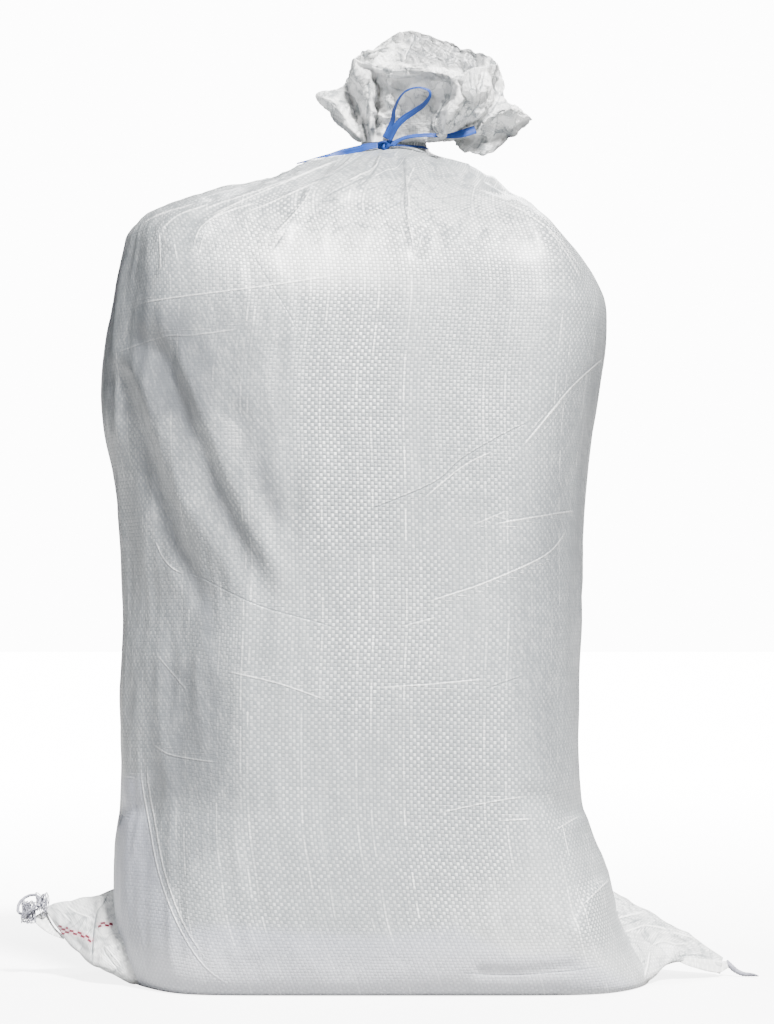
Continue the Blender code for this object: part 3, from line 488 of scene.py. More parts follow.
# Ears: rows of cloth from the top ridge down the front to the floor, each from the body
# out to the tip, as pixel column, pixel row and depth in millimetres
LEFT_EAR = [
    [(116, 889, -12), (101, 895, -8), (87, 898.5, -4), (72, 901.5, -2), (57, 904, -1), (45, 907, 0)],
    [(117, 908, -29), (102, 908, -24), (94, 909, -16), (75, 911, -10), (60, 912, -6), (47, 912, -2)],
    [(119, 928, -47), (104, 927, -40), (94, 929, -30), (76, 925, -18), (62, 922, -10), (51, 919, -4)],
    [(124, 950, -62), (107, 948, -54), (92, 950, -42), (80, 943, -26), (66, 932, -13), (55, 925, -5)],
    [(134, 984, -62), (112, 973, -56), (92, 964, -46), (80, 953, -30), (68, 941, -15), (59, 930, -6)],
]
RIGHT_EAR = [
    [(606, 886.5, -8), (630, 899.5, -6), (652, 911.5, -5), (676, 925, -4), (700, 939.5, -2), (723, 957.5, -1)],
    [(606, 905, -40), (628, 915, -34), (650, 926, -28), (674, 938, -20), (698, 950, -12), (722, 962, -5)],
    [(608, 930, -65), (630, 934, -50), (652, 942, -40), (674, 948, -30), (698, 956, -18), (722, 966, -7)],
    [(622, 962, -74), (634, 957, -62), (652, 954, -50), (676, 955, -34), (700, 962, -20), (721, 971, -7)],
    [(642, 984, -62), (652, 979, -56), (664, 969, -44), (680, 963, -30), (700, 967, -18), (720, 974, -8)],
]

# Creases of the ears, as for the body, and painted light where their cloth is brightest
EAR_CREASES = [
    (-0.9, [(110, 890), (103, 904), (97.5, 912), (94, 930), (92.5, 948), (92, 966)]),
    (-0.8, [(102, 945), (107, 955), (119, 971)]),
    (0.9, [(104, 945), (110, 952), (122, 967)]),
    (0.6, [(66, 905), (76, 912), (92, 918)]),
    (0.6, [(56, 906), (64, 915), (72, 923)]),
    (-0.5, [(93, 965), (104, 968), (112, 970)]),
    (1.0, [(616, 919), (630, 915), (645, 911.5)]),
    (1.0, [(622, 933), (634, 929), (645, 925.5), (658, 927), (670, 930)]),
    (0.9, [(672, 932), (684, 935), (694, 938)]),
    (-0.5, [(645, 924), (645, 930), (643, 934)]),
    (1.0, [(644, 980), (648, 964), (650, 950)]),
    (0.8, [(652, 945), (664, 941), (676, 944), (690, 943)]),
    (-0.6, [(676, 957), (684, 955.5), (698, 955), (712, 958)]),
    (1.0, [(664, 970), (671, 964)]),
    (-0.5, [(622, 926), (634, 922), (644, 918)]),
]
EAR_PAINTED_LIGHT_ZONES = [
    (0.9, 1.5, [(94, 943), (100, 940), (106, 945), (112, 956), (118, 966), (112, 971), (93, 965)]),
    (0.8, 1.5, [(108, 940), (113, 942), (126, 964), (134, 980), (124, 974), (112, 954)]),
    (0.9, 1.5, [(98, 897), (116, 888), (122, 930), (112, 940), (96, 935)]),
    (0.8, 1.5, [(112, 888), (120, 888), (128, 950), (136, 980), (128, 975), (116, 935)]),
    (0.5, 2.0, [(654, 946), (668, 943), (678, 950), (668, 962), (656, 956)]),
]
EAR_GRID = (90, 160)
EAR_FACET = 0.028
EAR_CRUMPLE = 0.0017
EAR_SWELL = (0.018, 0.0008)
EAR_FLOOR = 0.0005
EAR_ROOT = 17.0

# Hems beyond the ears' tips: pixel column, row and depth along the strip, and widths
LEFT_HEM = [(39, 914, 2), (44, 922, 0), (52, 930.5, -3), (64, 938, -9)]
LEFT_HEM_WIDTHS = [0.0128, 0.0100, 0.0062, 0.0020]
RIGHT_HEM = [(676, 959, -30), (690, 962, -26), (706, 965, -16), (718, 966.5, -8), (727, 964.5, -3)]
RIGHT_HEM_WIDTHS = [0.0022, 0.0066, 0.0092, 0.0094, 0.0052]

# Tie: sizes of its tape and knot, and the routes of its free stretches
TIE_THICKNESS = 0.0007
KNOT_CENTRE = (0.0060, -0.0272, 0.6185)
KNOT_WIDE = 0.0017
KNOT_TALL = 0.0014
KNOT_DEEP = 0.0014
KNOT_LEAN = 0.35
KNOT_TAPE = [0.0042, 0.0048, 0.0040, 0.0050, 0.0042]
KNOT_THICKNESS = 0.0014
KNOT_STEPS = 145
LOOP_ROUTE = [
    (0.0062, -0.0270, 0.6238),
    (0.0086, -0.0286, 0.6290),
    (0.0115, -0.0312, 0.6355),
    (0.0128, -0.0355, 0.6430),
    (0.0160, -0.0410, 0.6500),
    (0.0215, -0.0455, 0.6555),
    (0.0300, -0.0490, 0.6575),
    (0.0380, -0.0495, 0.6555),
    (0.0392, -0.0480, 0.6515),
    (0.0350, -0.0445, 0.6460),
    (0.0275, -0.0410, 0.6410),
    (0.0200, -0.0380, 0.6365),
    (0.0146, -0.0352, 0.6315),
    (0.0112, -0.0326, 0.6262),
    (0.0088, -0.0306, 0.6218),
]
LEFT_TAIL_ROUTE = [
    (0.0006, -0.0285, 0.6180),
    (-0.0081, -0.0270, 0.6172),
    (-0.0170, -0.0245, 0.6152),
    (-0.0259, -0.0225, 0.6136),
    (-0.0350, -0.0240, 0.6114),
    (-0.0430, -0.0320, 0.6086),
    (-0.0510, -0.0400, 0.6050),
    (-0.0590, -0.0450, 0.6020),
]
RIGHT_TAIL_ROUTE = [
    (0.0112, -0.0288, 0.6184),
    (0.0164, -0.0295, 0.6218),
    (0.0238, -0.0310, 0.6240),
    (0.0348, -0.0330, 0.6249),
    (0.0452, -0.0335, 0.6245),
    (0.0540, -0.0330, 0.6243),
    (0.0629, -0.0320, 0.6261),
    (0.0733, -0.0310, 0.6294),
]
LEFT_THREAD_ROUTE = [
    (-0.2588, -0.0015, 0.0478),
    (-0.2630, -0.0010, 0.0455),
    (-0.2675, -0.0020, 0.0475),
    (-0.2670, 0.0020, 0.0535),
    (-0.2620, 0.0040, 0.0580),
    (-0.2560, 0.0020, 0.0595),
    (-0.2510, -0.0040, 0.0575),
    (-0.2520, -0.0100, 0.0535),
    (-0.2580, -0.0110, 0.0490),
    (-0.2640, -0.0080, 0.0430),
]
RIGHT_THREAD_ROUTE = [
    (0.2603, 0.0000, 0.0099),
    (0.2630, -0.0015, 0.0075),
    (0.2670, -0.0040, 0.0040),
    (0.2715, -0.0065, 0.0020),
    (0.2765, -0.0090, 0.0013),
    (0.2800, -0.0130, 0.0013),
    (0.2820, -0.0185, 0.0013),
]
THREAD_WIDTH = 0.0020
THREAD_FLOOR = 0.0016

# Frayed fibres: name, middle and reach in metres, how many, and the seed of their routes
FIBRE_RADIUS = 0.00035
FIBRE_FLOOR = 0.002
FRAY_PATCHES = [
    ("seam_fray_low", (-0.2594, -0.0040, 0.0475), (0.0054, 0.0045, 0.0086), 20, 7),
    ("seam_fray_high", (-0.2498, -0.0030, 0.0535), (0.0050, 0.0040, 0.0080), 12, 9),
]

# For each free stretch of the tie: its solid, route, widths and turns in degrees along
# it, the way its flat side first faces, its far end and how far it sinks onto the cloth
TIE_PIECES = [
    ("tie_loop", LOOP_ROUTE, [0.0050, 0.0044, 0.0034, 0.0026, 0.0022, 0.0030, 0.0044, 0.0048, 0.0050, 0.0054],
     [0, 10, 40, 76, 84, 70, 30, 5, 0, 0], (0, -1, 0), "object", 0.0),
    ("tie_tail_left", LEFT_TAIL_ROUTE, [0.0046, 0.0056, 0.0070, 0.0066, 0.0036, 0.0018, 0.0013, 0.0011],
     [0, 0, 0, 5, 15, 30, 40], (0, -1, 0.3), "bare", 0.0004),
    ("tie_tail_right", RIGHT_TAIL_ROUTE, [0.0040, 0.0030, 0.0030, 0.0034, 0.0034, 0.0040, 0.0060, 0.0062],
     [0, 10, 20, 10, 0, 0], (0, -1, 0.2), "bare", 0.0),
]
NECK_CENTRE = (0.012, 0.0)
NECK_HALF_WIDTH = 0.026
NECK_HALF_DEPTH = 0.022
BAND_MIDDLE = 0.6180
BAND_HEIGHT = 0.0046
BAND_THICKNESS = 0.0015
BAND_GRID = (24, 160)
BAND_WAVE = 0.0006
SWEEP_SIDES = 20
SECTION_RUN = 0.0015

# Cloth: its thickness, how the frill is crushed, and the sizes of what its material draws
CLOTH_THICKNESS = 0.0006
HEM_THICKNESS = 0.0012
HEM_FLOOR = 0.004
CRUSH_FRAMES = 10
CRUSH_SETTINGS = {
    "quality": 5, "mass": 0.02, "tension_stiffness": 30.0, "compression_stiffness": 30.0,
    "shear_stiffness": 15.0, "bending_stiffness": 0.3, "pin_stiffness": 1.0,
}
CRUSH_CAP = 0.004
FRILL_HOLD = 0.30
FRILL_GROWTH = 0.10
FRILL_RAGGED = 0.0022
CREASE_WIDTH = 0.0006
HATCH_TURN = 0.47
HATCH_SIZE = (0.0017, 0.012, 1.0)
STREAK_SCALE = (700.0, 22.0, 1.0)
RAISED_LENGTH = 0.011
FIBRE_SCALE = (60.0, 3000.0, 1.0)
MARKER_TAPE = 0.0016
MARKER_DASH = 0.0031
MARKER_LINES = [
    ([(57, 929), (66, 931), (78, 933.5), (86, 937), (93, 942)], 0.28),
    ([(97, 926), (104, 924), (113, 925.5)], 0.0),
]

# Lights and floor
LIGHT_TARGET = (0.0, 0.0, 0.35)
KEY_FROM = (0.90, -1.90, 2.40)
KEY_SOFTNESS = 0.16
KEY_STRENGTH = 19.5
FILL_PLACE = (-2.4, -0.9, 0.9)
FILL_SIZE = 1.2
FILL_POWER = 22.0
REAR_PLACE = (0.5, 2.2, 2.3)
REAR_SIZE = 1.5
REAR_POWER = 130.0
WORLD_STRENGTH = 0.02
BACKDROP_STRENGTH = 13.0
FLOOR_REACH = 80.0
FLOOR_DROP = -0.0004
FLOOR_GLOW = 0.62
FLOOR_SHINE = 0.38
FLOOR_BOUNCE = 0.34
GLOW_START = 0.35
GLOW_REACH = 3.0
GLOW_CURVE = 0.7
GLOW_STRENGTH = 13.0


# Camera and numbers

def camera_axes():
    """Forward and up of the tilted camera."""
    forward = np.array((0.0, math.cos(TILT), math.sin(TILT)))
    up = np.array((0.0, -math.sin(TILT), math.cos(TILT)))
    return forward, up


def at_pixel(column, row, depth=0.0):
    """The point seen at a pixel, at a depth behind the middle of the sack."""
    forward, up = camera_axes()
    right = np.array((1.0, 0.0, 0.0))
    ray = (
        forward
        + right * (column - IMAGE_WIDTH / 2) * PIXEL_SLOPE
        + up * (IMAGE_HEIGHT / 2 - row) * PIXEL_SLOPE
    )
    reach = (depth - CAMERA_PLACE[1]) / ray[1]
    return np.array(CAMERA_PLACE) + ray * reach


def to_pixels(points):
    """Pixel columns and rows of many points."""
    forward, up = camera_axes()
    seen = points - np.array(CAMERA_PLACE)
    distance = seen @ forward
    columns = IMAGE_WIDTH / 2 + seen[..., 0] / distance / PIXEL_SLOPE
    rows = IMAGE_HEIGHT / 2 - (seen @ up) / distance / PIXEL_SLOPE
    return columns, rows


def seen_points(places):
    """The points at pixel columns and rows, with depths in millimetres."""
    return np.array([at_pixel(column, row, depth / 1000) for column, row, depth in places])


def ease(low, high, values):
    """Smooth step from 0 at low to 1 at high."""
    share = np.clip((values - low) / (high - low), 0.0, 1.0)
    return share * share * (3 - 2 * share)


def spread_noise(points, scale, seed):
    """Smooth noise from -1 to 1 at many points, with features of about scale."""
    flat = points.reshape(-1, 3) / scale + seed * SEED_STEP
    values = [noise.noise(Vector(point)) for point in flat]
    return np.array(values).reshape(points.shape[:-1])


def soften(values, passes):
    """Even out the rows of an array."""
    for _ in range(passes):
        padded = np.concatenate((values[:1], values, values[-1:]))
        values = (padded[:-2] + 2 * values + padded[2:]) / 4
    return values


def smooth_line(points, steps=6):
    """A finer line on the smooth curve through a few points."""
    points = np.array(points, dtype=float)
    ends = np.concatenate(([2 * points[0] - points[1]], points, [2 * points[-1] - points[-2]]))
    line = []
    for before, start, end, after in zip(ends, ends[1:], ends[2:], ends[3:]):
        for step in range(steps):
            line.append(catmull(before, start, end, after, step / steps))
    line.append(points[-1])
    return np.array(line)


def catmull(before, start, end, after, t):
    """One point of the smooth curve between start and end."""
    return 0.5 * (
        2 * start
        + (end - before) * t
        + (2 * before - 5 * start + 4 * end - after) * t ** 2
        + (3 * start - before - 3 * end + after) * t ** 3
    )


def near_line(columns, rows, line, reach):
    """Which pixels lie within reach of the box round a line."""
    return (
        (columns > line[:, 0].min() - reach) & (columns < line[:, 0].max() + reach)
        & (rows > line[:, 1].min() - reach) & (rows < line[:, 1].max() + reach)
    )


def distance_to_line(columns, rows, line):
    """Signed distance from pixels to a line, and the share of the line's length there."""
    best = np.full(columns.shape, 1e9)
    signed = np.full(columns.shape, 1e9)
    share = np.zeros(columns.shape)
    lengths = np.linalg.norm(np.diff(line, axis=0), axis=1)
    travelled = np.concatenate(([0.0], np.cumsum(lengths)))
    for index, (start, step) in enumerate(zip(line, np.diff(line, axis=0))):
        size = max(float(step @ step), 1e-9)
        off_x = columns - start[0]
        off_y = rows - start[1]
        inside = np.clip((off_x * step[0] + off_y * step[1]) / size, 0.0, 1.0)
        away = np.hypot(off_x - inside * step[0], off_y - inside * step[1])
        side = np.where(step[0] * off_y - step[1] * off_x < 0, -1.0, 1.0)
        nearer = away < best
        best = np.where(nearer, away, best)
        signed = np.where(nearer, away * side, signed)
        share = np.where(nearer, (travelled[index] + inside * lengths[index]) / travelled[-1], share)
    return signed, share


def spline_grid(cage, rows, columns):
    """A fine grid on the smooth surface through a coarse one that closes on itself."""
    count_v, count_u = cage.shape[:2]
    padded = np.concatenate(([2 * cage[0] - cage[1]], cage, [2 * cage[-1] - cage[-2]]))
    tall = []
    for span in np.linspace(0, count_v - 1, rows):
        index = min(int(span), count_v - 2)
        tall.append(catmull(*padded[index:index + 4], span - index))
    tall = np.array(tall)
    padded = np.concatenate((tall[:, -1:], tall, tall[:, :2]), axis=1)
    wide = []
    for span in np.linspace(0, count_u, columns):
        index = min(int(span), count_u - 1)
        wide.append(catmull(*(padded[:, index + k] for k in range(4)), span - index))
    return np.stack(wide, axis=1)


def crumple(points, scale, seed):
    """Sharp valleys and flat facets, as in crushed cloth, from 0 down to -1."""
    ridged = -abs(spread_noise(points, scale, seed)) * 1.6
    return ridged - 0.5 * abs(spread_noise(points, scale * 0.47, seed + 3)) * 1.6


# Meshes

def grid_piece(name, points, uv, caps=()):
    """A grid of faces moved onto its points and closed round, with capped ends if asked."""
    rows, columns = points.shape[:2]
    grid = bmesh.new()
    bmesh.ops.create_grid(grid, x_segments=columns - 1, y_segments=rows - 1, size=0.5)
    mesh = bpy.data.meshes.new(name)
    grid.to_mesh(mesh)
    grid.free()
    flat = np.empty(len(mesh.vertices) * 3)
    mesh.vertices.foreach_get("co", flat)
    flat = flat.reshape(-1, 3)
    across = np.rint((flat[:, 0] + 0.5) * (columns - 1)).astype(int)
    along = np.rint((flat[:, 1] + 0.5) * (rows - 1)).astype(int)
    mesh.vertices.foreach_set("co", points[along, across].ravel())
    corners = np.empty(len(mesh.loops), dtype=int)
    mesh.loops.foreach_get("vertex_index", corners)
    layer = mesh.uv_layers.new(name="cloth")
    layer.data.foreach_set("uv", uv[along, across][corners].ravel())
    order = mesh.attributes.new("grid_row", "INT", "POINT")
    order.data.foreach_set("value", along.astype(np.int32))
    piece = bpy.data.objects.new(name, mesh)
    bpy.context.collection.objects.link(piece)
    finish_grid(mesh, caps, rows)
    return piece


def finish_grid(mesh, caps, rows):
    """Join the seam, close the ends that are asked for and turn the faces out."""
    work = bmesh.new()
    work.from_mesh(mesh)
    bmesh.ops.remove_doubles(work, verts=work.verts[:], dist=1e-6)
    marker = work.verts.layers.int["grid_row"]
    for end in caps:
        wanted = 0 if end == 0 else rows - 1
        rim = [e for e in work.edges if e.is_boundary and all(v[marker] == wanted for v in e.verts)]
        bmesh.ops.holes_fill(work, edges=rim, sides=0)
    bmesh.ops.recalc_face_normals(work, faces=work.faces[:])
    work.to_mesh(mesh)
    work.free()
    mesh.attributes.remove(mesh.attributes["grid_row"])
    mesh.shade_smooth()
    mesh.update()


# Materials

class Value:
    """A number or colour in a material, so that shader maths reads as sums."""

    def __init__(self, finish, socket):
        self.finish = finish
        self.socket = socket

    def sum(self, operation, *others):
        return self.finish.node("ShaderNodeMath", {"operation": operation}, *others)

    def __add__(self, other):
        return self.sum("ADD", self, other)

    def __radd__(self, other):
        return self.sum("ADD", other, self)

    def __sub__(self, other):
        return self.sum("SUBTRACT", self, other)

    def __rsub__(self, other):
        return self.sum("SUBTRACT", other, self)

    def __mul__(self, other):
        return self.sum("MULTIPLY", self, other)

    def __truediv__(self, other):
        return self.sum("DIVIDE", self, other)

    def __pow__(self, other):
        return self.sum("POWER", self, other)

    def __abs__(self):
        return self.sum("ABSOLUTE", self)

    def floor(self):
        return self.sum("FLOOR", self)

    def fract(self):
        return self.sum("FRACT", self)

    def sine(self):
        return self.sum("SINE", self)

    def exponent(self):
        return self.sum("EXPONENT", self)

    def modulo(self, other):
        return self.sum("FLOORED_MODULO", self, other)

    def least(self, other):
        return self.sum("MINIMUM", self, other)

    def most(self, other):
        return self.sum("MAXIMUM", self, other)

    def below(self, other):
        return self.sum("LESS_THAN", self, other)

    def held(self):
        """Kept between 0 and 1."""
        return self.most(0.0).least(1.0)


class Finish:
    """One node material, with a Principled shader."""

    def __init__(self, name):
        self.material = bpy.data.materials.new(name)
        self.material.use_nodes = True
        self.tree = self.material.node_tree
        self.shader = self.tree.nodes["Principled BSDF"]

    def node(self, kind, settings, *values, output=0, **named):
        """Add a node: its settings first, then its sockets by order or by name."""
        made = self.tree.nodes.new(kind)
        for key, value in settings.items():
            setattr(made, key, value)
        sockets = list(enumerate(values)) + [(key.replace("_", " "), value) for key, value in named.items()]
        for key, value in sockets:
            self.feed(made.inputs[key], value)
        return Value(self, made.outputs[output])

    def feed(self, socket, value):
        """Link a value to a socket, or set a constant on it."""
        if isinstance(value, Value):
            self.tree.links.new(value.socket, socket)
        else:
            socket.default_value = value

    def blend(self, share, first, second):
        """Mix two colours by a share."""
        made = self.tree.nodes.new("ShaderNodeMix")
        made.data_type = "RGBA"
        self.feed(made.inputs[0], share)
        self.feed(made.inputs[6], first)
        self.feed(made.inputs[7], second)
        return Value(self, made.outputs[2])

    def parts(self, vector):
        """The three numbers of a vector."""
        split = self.tree.nodes.new("ShaderNodeSeparateXYZ")
        self.feed(split.inputs[0], vector)
        return [Value(self, output) for output in split.outputs]

    def attribute(self, name):
        return self.node("ShaderNodeAttribute", {"attribute_name": name}, output=2)

    def place(self):
        """Where the surface is, from the piece's own origin."""
        return self.node("ShaderNodeTexCoord", {}, output=3)

    def uv(self):
        """Where the cloth or tape is, in metres along itself."""
        return self.node("ShaderNodeUVMap", {"uv_map": "cloth"})

    def noise(self, place, scale, detail, **named):
        """Soft noise."""
        return self.node("ShaderNodeTexNoise", {}, Vector=place, Scale=scale, Detail=detail, **named)

    def chance(self, value):
        """A number drawn by chance for each value."""
        return self.node("ShaderNodeTexWhiteNoise", {"noise_dimensions": "1D"}, W=value)

    def bump(self, height, strength, distance):
        """Relief for the shader's normal."""
        return self.node("ShaderNodeBump", {}, Strength=strength, Distance=distance, Height=height)

    def set(self, **named):
        for key, value in named.items():
            self.feed(self.shader.inputs[key.replace("_", " ")], value)


def colour(values):
    return (*values, 1.0)


def woven_height(finish, tape):
    """Height of a plain weave of flat tapes, which tape is on top, and the tape numbers."""
    along_u, along_v = (part / tape for part in finish.parts(finish.uv())[:2])
    cell_u = along_u.floor()
    cell_v = along_v.floor()
    on_top = (cell_u + cell_v).modulo(2.0)
    share_u = along_u.fract()
    share_v = along_v.fract()
    hump_u = (share_u * math.pi).sine()
    hump_v = (share_v * math.pi).sine()
    edge_u = 1.0 - abs(share_u * 2.0 - 1.0) ** 5.0
    edge_v = 1.0 - abs(share_v * 2.0 - 1.0) ** 5.0
    upright = hump_v ** 0.7 * edge_u
    level = hump_u ** 0.7 * edge_v
    height = upright * (1.0 - on_top) + level * on_top
    return height, on_top, cell_u, cell_v


def sharp_noise(finish, place, scale, detail):
    """Noise folded at its middle, which leaves sharp lines between soft facets."""
    return abs(finish.noise(place, scale, detail, Distortion=0.4) * 2.0 - 1.0)


def crease_lines(finish, letter):
    """Relief of one layer of drawn creases, a narrow ridge beside a shallow groove, and its painted highlight and
    painted shade for the colour.
    """
    away = finish.attribute("crease_" + letter)
    strength = finish.attribute("strength_" + letter)
    near = away / CREASE_WIDTH
    ridge = (near * near * -1.0).exponent()
    side = near - 1.8
    groove = (side * side * -0.8).exponent()
    return strength * (ridge - groove * 0.35), strength * (ridge * 0.9 - groove * 0.25)


def cloth_tone(finish, looks, woven, lines):
    """How light the cloth is painted, from 0 between the tapes to 1 where a tape carries a painted glint, with
    painted light, painted shade and the creases' painted lines added in.
    """
    height, on_top, cell_u, cell_v = woven
    # The attributes read here carry the strength of the painted glints, painted shade and how crushed the cloth is
    weave = finish.attribute("weave")
    crushed = finish.attribute("crushed")
    dull = finish.attribute("dull")
    place = finish.place()
    uv = finish.uv()
    warp_tone = finish.chance(cell_u)
    weft_tone = finish.chance(cell_v + 0.5)
    tape_tone = warp_tone * (1.0 - on_top) + weft_tone * on_top
    # Painted glints on the crowns of the tapes that lie on top, brighter on some by chance
    glint_chance = finish.chance(cell_u * 17.3 + cell_v * 101.7)
    weave_and_glint_tone = height * (on_top * (0.45 + glint_chance * 0.62) + 0.25) + tape_tone * 0.10
    weave_depth = (0.13 + weave * finish.noise(place, 38.0, 2.0) * 1.45) * (1.0 - dull * 0.5)
    streak = finish.noise(finish.node("ShaderNodeMapping", {}, Vector=uv, Scale=STREAK_SCALE), 1.0, 2.0)
    along_u, along_v = finish.parts(uv)[:2]
    dash = finish.chance(cell_u * 31.7 + (along_v / RAISED_LENGTH).floor())
    middle = 1.0 - abs((along_u / looks.tape_width).fract() * 2.0 - 1.0)
    raised = (warp_tone - 0.80).most(0.0) * 6.0 * (dash - 0.45).most(0.0) * 3.0 * middle ** 3.0
    slanted = finish.node(
        "ShaderNodeMapping", {"vector_type": "TEXTURE"}, Vector=uv, Rotation=(0.0, 0.0, HATCH_TURN), Scale=HATCH_SIZE
    )
    hatch = finish.noise(slanted, 1.0, 1.0)
    # Painted shade in the sharp lines of crushed cloth; the pale attribute is painted light that lifts the tone
    wrinkle_shade = (1.0 - sharp_noise(finish, place, 55.0, 2.0) * 13.0).held()
    tone = finish.attribute("pale") + 0.09 + (weave_and_glint_tone - 0.42) * weave_depth
    tone = tone + (streak - 0.5) * (0.38 - weave * 0.25) + raised * 0.6
    tone = tone + (hatch - 0.5) * (0.16 + dull * 1.3) - wrinkle_shade * crushed * crushed * 1.5
    return (tone + lines * 0.85).held()


def cloth_relief(finish, height, lines):
    """Relief of the weave, of the drawn creases and of the crushed cloth's facets."""
    weave = finish.attribute("weave")
    crushed = finish.attribute("crushed")
    place = finish.place()
    bend = finish.noise(place, 70.0, 2.0, output=1)
    bent = finish.node("ShaderNodeVectorMath", {"operation": "MULTIPLY_ADD"}, bend, (0.02, 0.02, 0.02), place)
    cells = finish.node("ShaderNodeTexVoronoi", {}, Vector=bent, Scale=65.0)
    return (
        cells * crushed * 3.2
        + height * (0.04 + weave * 0.50) * (1.0 - finish.attribute("dull") * 0.5)
        + sharp_noise(finish, place, 85.0, 3.0) * (0.20 + crushed * 0.9)
        + sharp_noise(finish, place, 26.0, 3.0) * (0.5 + crushed * 1.6)
        + finish.noise(place, 9.0, 3.0) * 0.8
        + lines * 0.5
    )


def sack_fabric(looks):
    """White woven tapes with a satin shine, creased and a little crushed, with painted light, painted shade, painted
    glints and a painted floor reflection in its colour.
    """
    finish = Finish("woven_cloth")
    woven = woven_height(finish, looks.tape_width)
    height = woven[0]
    relief_a, painted_crease_a = crease_lines(finish, "a")
    relief_b, painted_crease_b = crease_lines(finish, "b")
    relief_c, painted_crease_c = crease_lines(finish, "c")
    tone = cloth_tone(finish, looks, woven, painted_crease_a + painted_crease_b + painted_crease_c)
    base = finish.blend(tone, colour(looks.fabric_shade), colour(looks.fabric_light))
    # Painted shade, then a painted bluish reflection of the floor, over the cloth's colour
    base = finish.blend(finish.attribute("dull"), base, colour(looks.fabric_dull))
    base = finish.blend(finish.attribute("low"), base, colour(looks.fabric_floor_reflection))
    stripe, stripe_edge = marker_stripe(finish)
    base = finish.blend(stripe_edge * 0.5, base, colour(looks.marker_pale))
    base = finish.blend(stripe, base, colour(looks.marker_red))
    bump = finish.bump(cloth_relief(finish, height, relief_a + relief_b + relief_c), 1.0, 0.0008)
    finish.set(Base_Color=base, Roughness=0.46 - height * 0.10, Normal=bump)
    finish.set(IOR=1.49, Coat_Weight=0.45, Coat_Roughness=0.32)
    return finish.material


def marker_stripe(finish):
    """Red marker tapes woven into the cloth: dashes in two rows, and the glow round them."""
    away = finish.attribute("marker_away") / MARKER_TAPE
    along = finish.attribute("marker_along") / (2 * MARKER_DASH)
    shown = finish.attribute("marker")
    row = away.floor()
    dash = (along + row * 0.5).fract().below(0.52)
    inside = abs(away).below(shown)
    edge = (1.8 - abs(away)).held() * shown.least(1.0)
    return (shown * dash * inside).held(), edge


def tie_tape(looks):
    """Blue tape, drawn lengthwise into fine fibres."""
    finish = Finish("blue_tape")
    fibre = finish.noise(finish.node("ShaderNodeMapping", {}, Vector=finish.uv(), Scale=FIBRE_SCALE), 1.0, 3.0)
    share = ((fibre - 0.3) * 2.2).held()
    base = finish.blend(share, colour(looks.tape_dark), colour(looks.tape_light))
    finish.set(Base_Color=base, Roughness=0.42 + fibre * 0.15, Normal=finish.bump(fibre, 0.7, 0.0004))
    finish.set(Specular_IOR_Level=0.35)
    return finish.material


def seam_thread(looks):
    """Grey twisted sewing thread."""
    finish = Finish("grey_thread")
    fuzz = finish.noise(finish.place(), 420.0, 3.0)
    base = finish.blend(fuzz, colour(looks.thread_dark), colour(looks.thread_light))
    finish.set(Base_Color=base, Roughness=0.75, Normal=finish.bump(fuzz, 0.7, 0.0003))
    return finish.material


# Body

def body_table(rows):
    """Height, edges, depths and squareness of every ring of the body."""
    stations = []
    for row, left, right, front, back, left_sq, right_sq, back_sq in BODY_STATIONS:
        low = at_pixel(left, row)
        high = at_pixel(right, row)
        stations.append((max(low[2], 0.0), low[0], high[0], front, back, left_sq, right_sq, back_sq))
    table = np.array(stations)
    table[0, 0] = 0.0
    steps = np.diff(table, axis=0)
    length = np.hypot(steps[:, 0], (abs(steps[:, 1]) + abs(steps[:, 2]) + abs(steps[:, 3])) / 3)
    density = np.where(table[1:, 0] > SHOULDER_FOOT, SHOULDER_DENSITY, 1.0)
    travelled = np.concatenate(([0.0], np.cumsum(length * density)))
    even = np.linspace(0.0, travelled[-1], rows)
    fine = np.stack([np.interp(even, travelled, table[:, k]) for k in range(8)], axis=1)
    smooth = soften(fine, BODY_SOFTENING)
    smooth[0] = fine[0]
    return smooth


def flank_reach(angle, left, right, front, back, flank):
    """Reach of a ring that has flat flanks at the front, from its middle."""
    left_start, left_side, right_start, right_side = flank
    half = (right - left) / 2
    middle = (right + left) / 2
    reaches = []
    for start, side, edge in ((left_start, left_side, -half), (right_start, right_side, half)):
        run = edge - (start - middle)
        drop = front - side
        normal = math.atan2(-abs(run), math.copysign(drop, run))
        reaches.append((normal, abs((start - middle) * math.cos(normal) - front * math.sin(normal))))
    reaches += [(-math.pi / 2, front), (math.pi / 2, back), (0.0, half), (math.pi, half)]
    corner = BACK_CORNER * math.hypot(half, back)
    slant = math.atan2(half, back)
    reaches += [(slant, corner), (math.pi - slant, corner)]
    total = sum((np.maximum(np.cos(angle - turn), 0.0) / reach) ** FLANK_SHARPNESS for turn, reach in reaches)
    return total ** (-1 / FLANK_SHARPNESS)


def flank_table(heights):
    """Where the flanks start and end at each height, in metres."""
    table = np.array([
        (
            at_pixel(0, row)[2], at_pixel(left, row, FLANK_DEPTH)[0], left_side,
            at_pixel(right, row, FLANK_DEPTH)[0], right_side,
        )
        for row, left, left_side, right, right_side in FLANKS
    ])
    return np.stack([np.interp(heights, table[:, 0], table[:, k]) for k in range(1, 5)], axis=1)


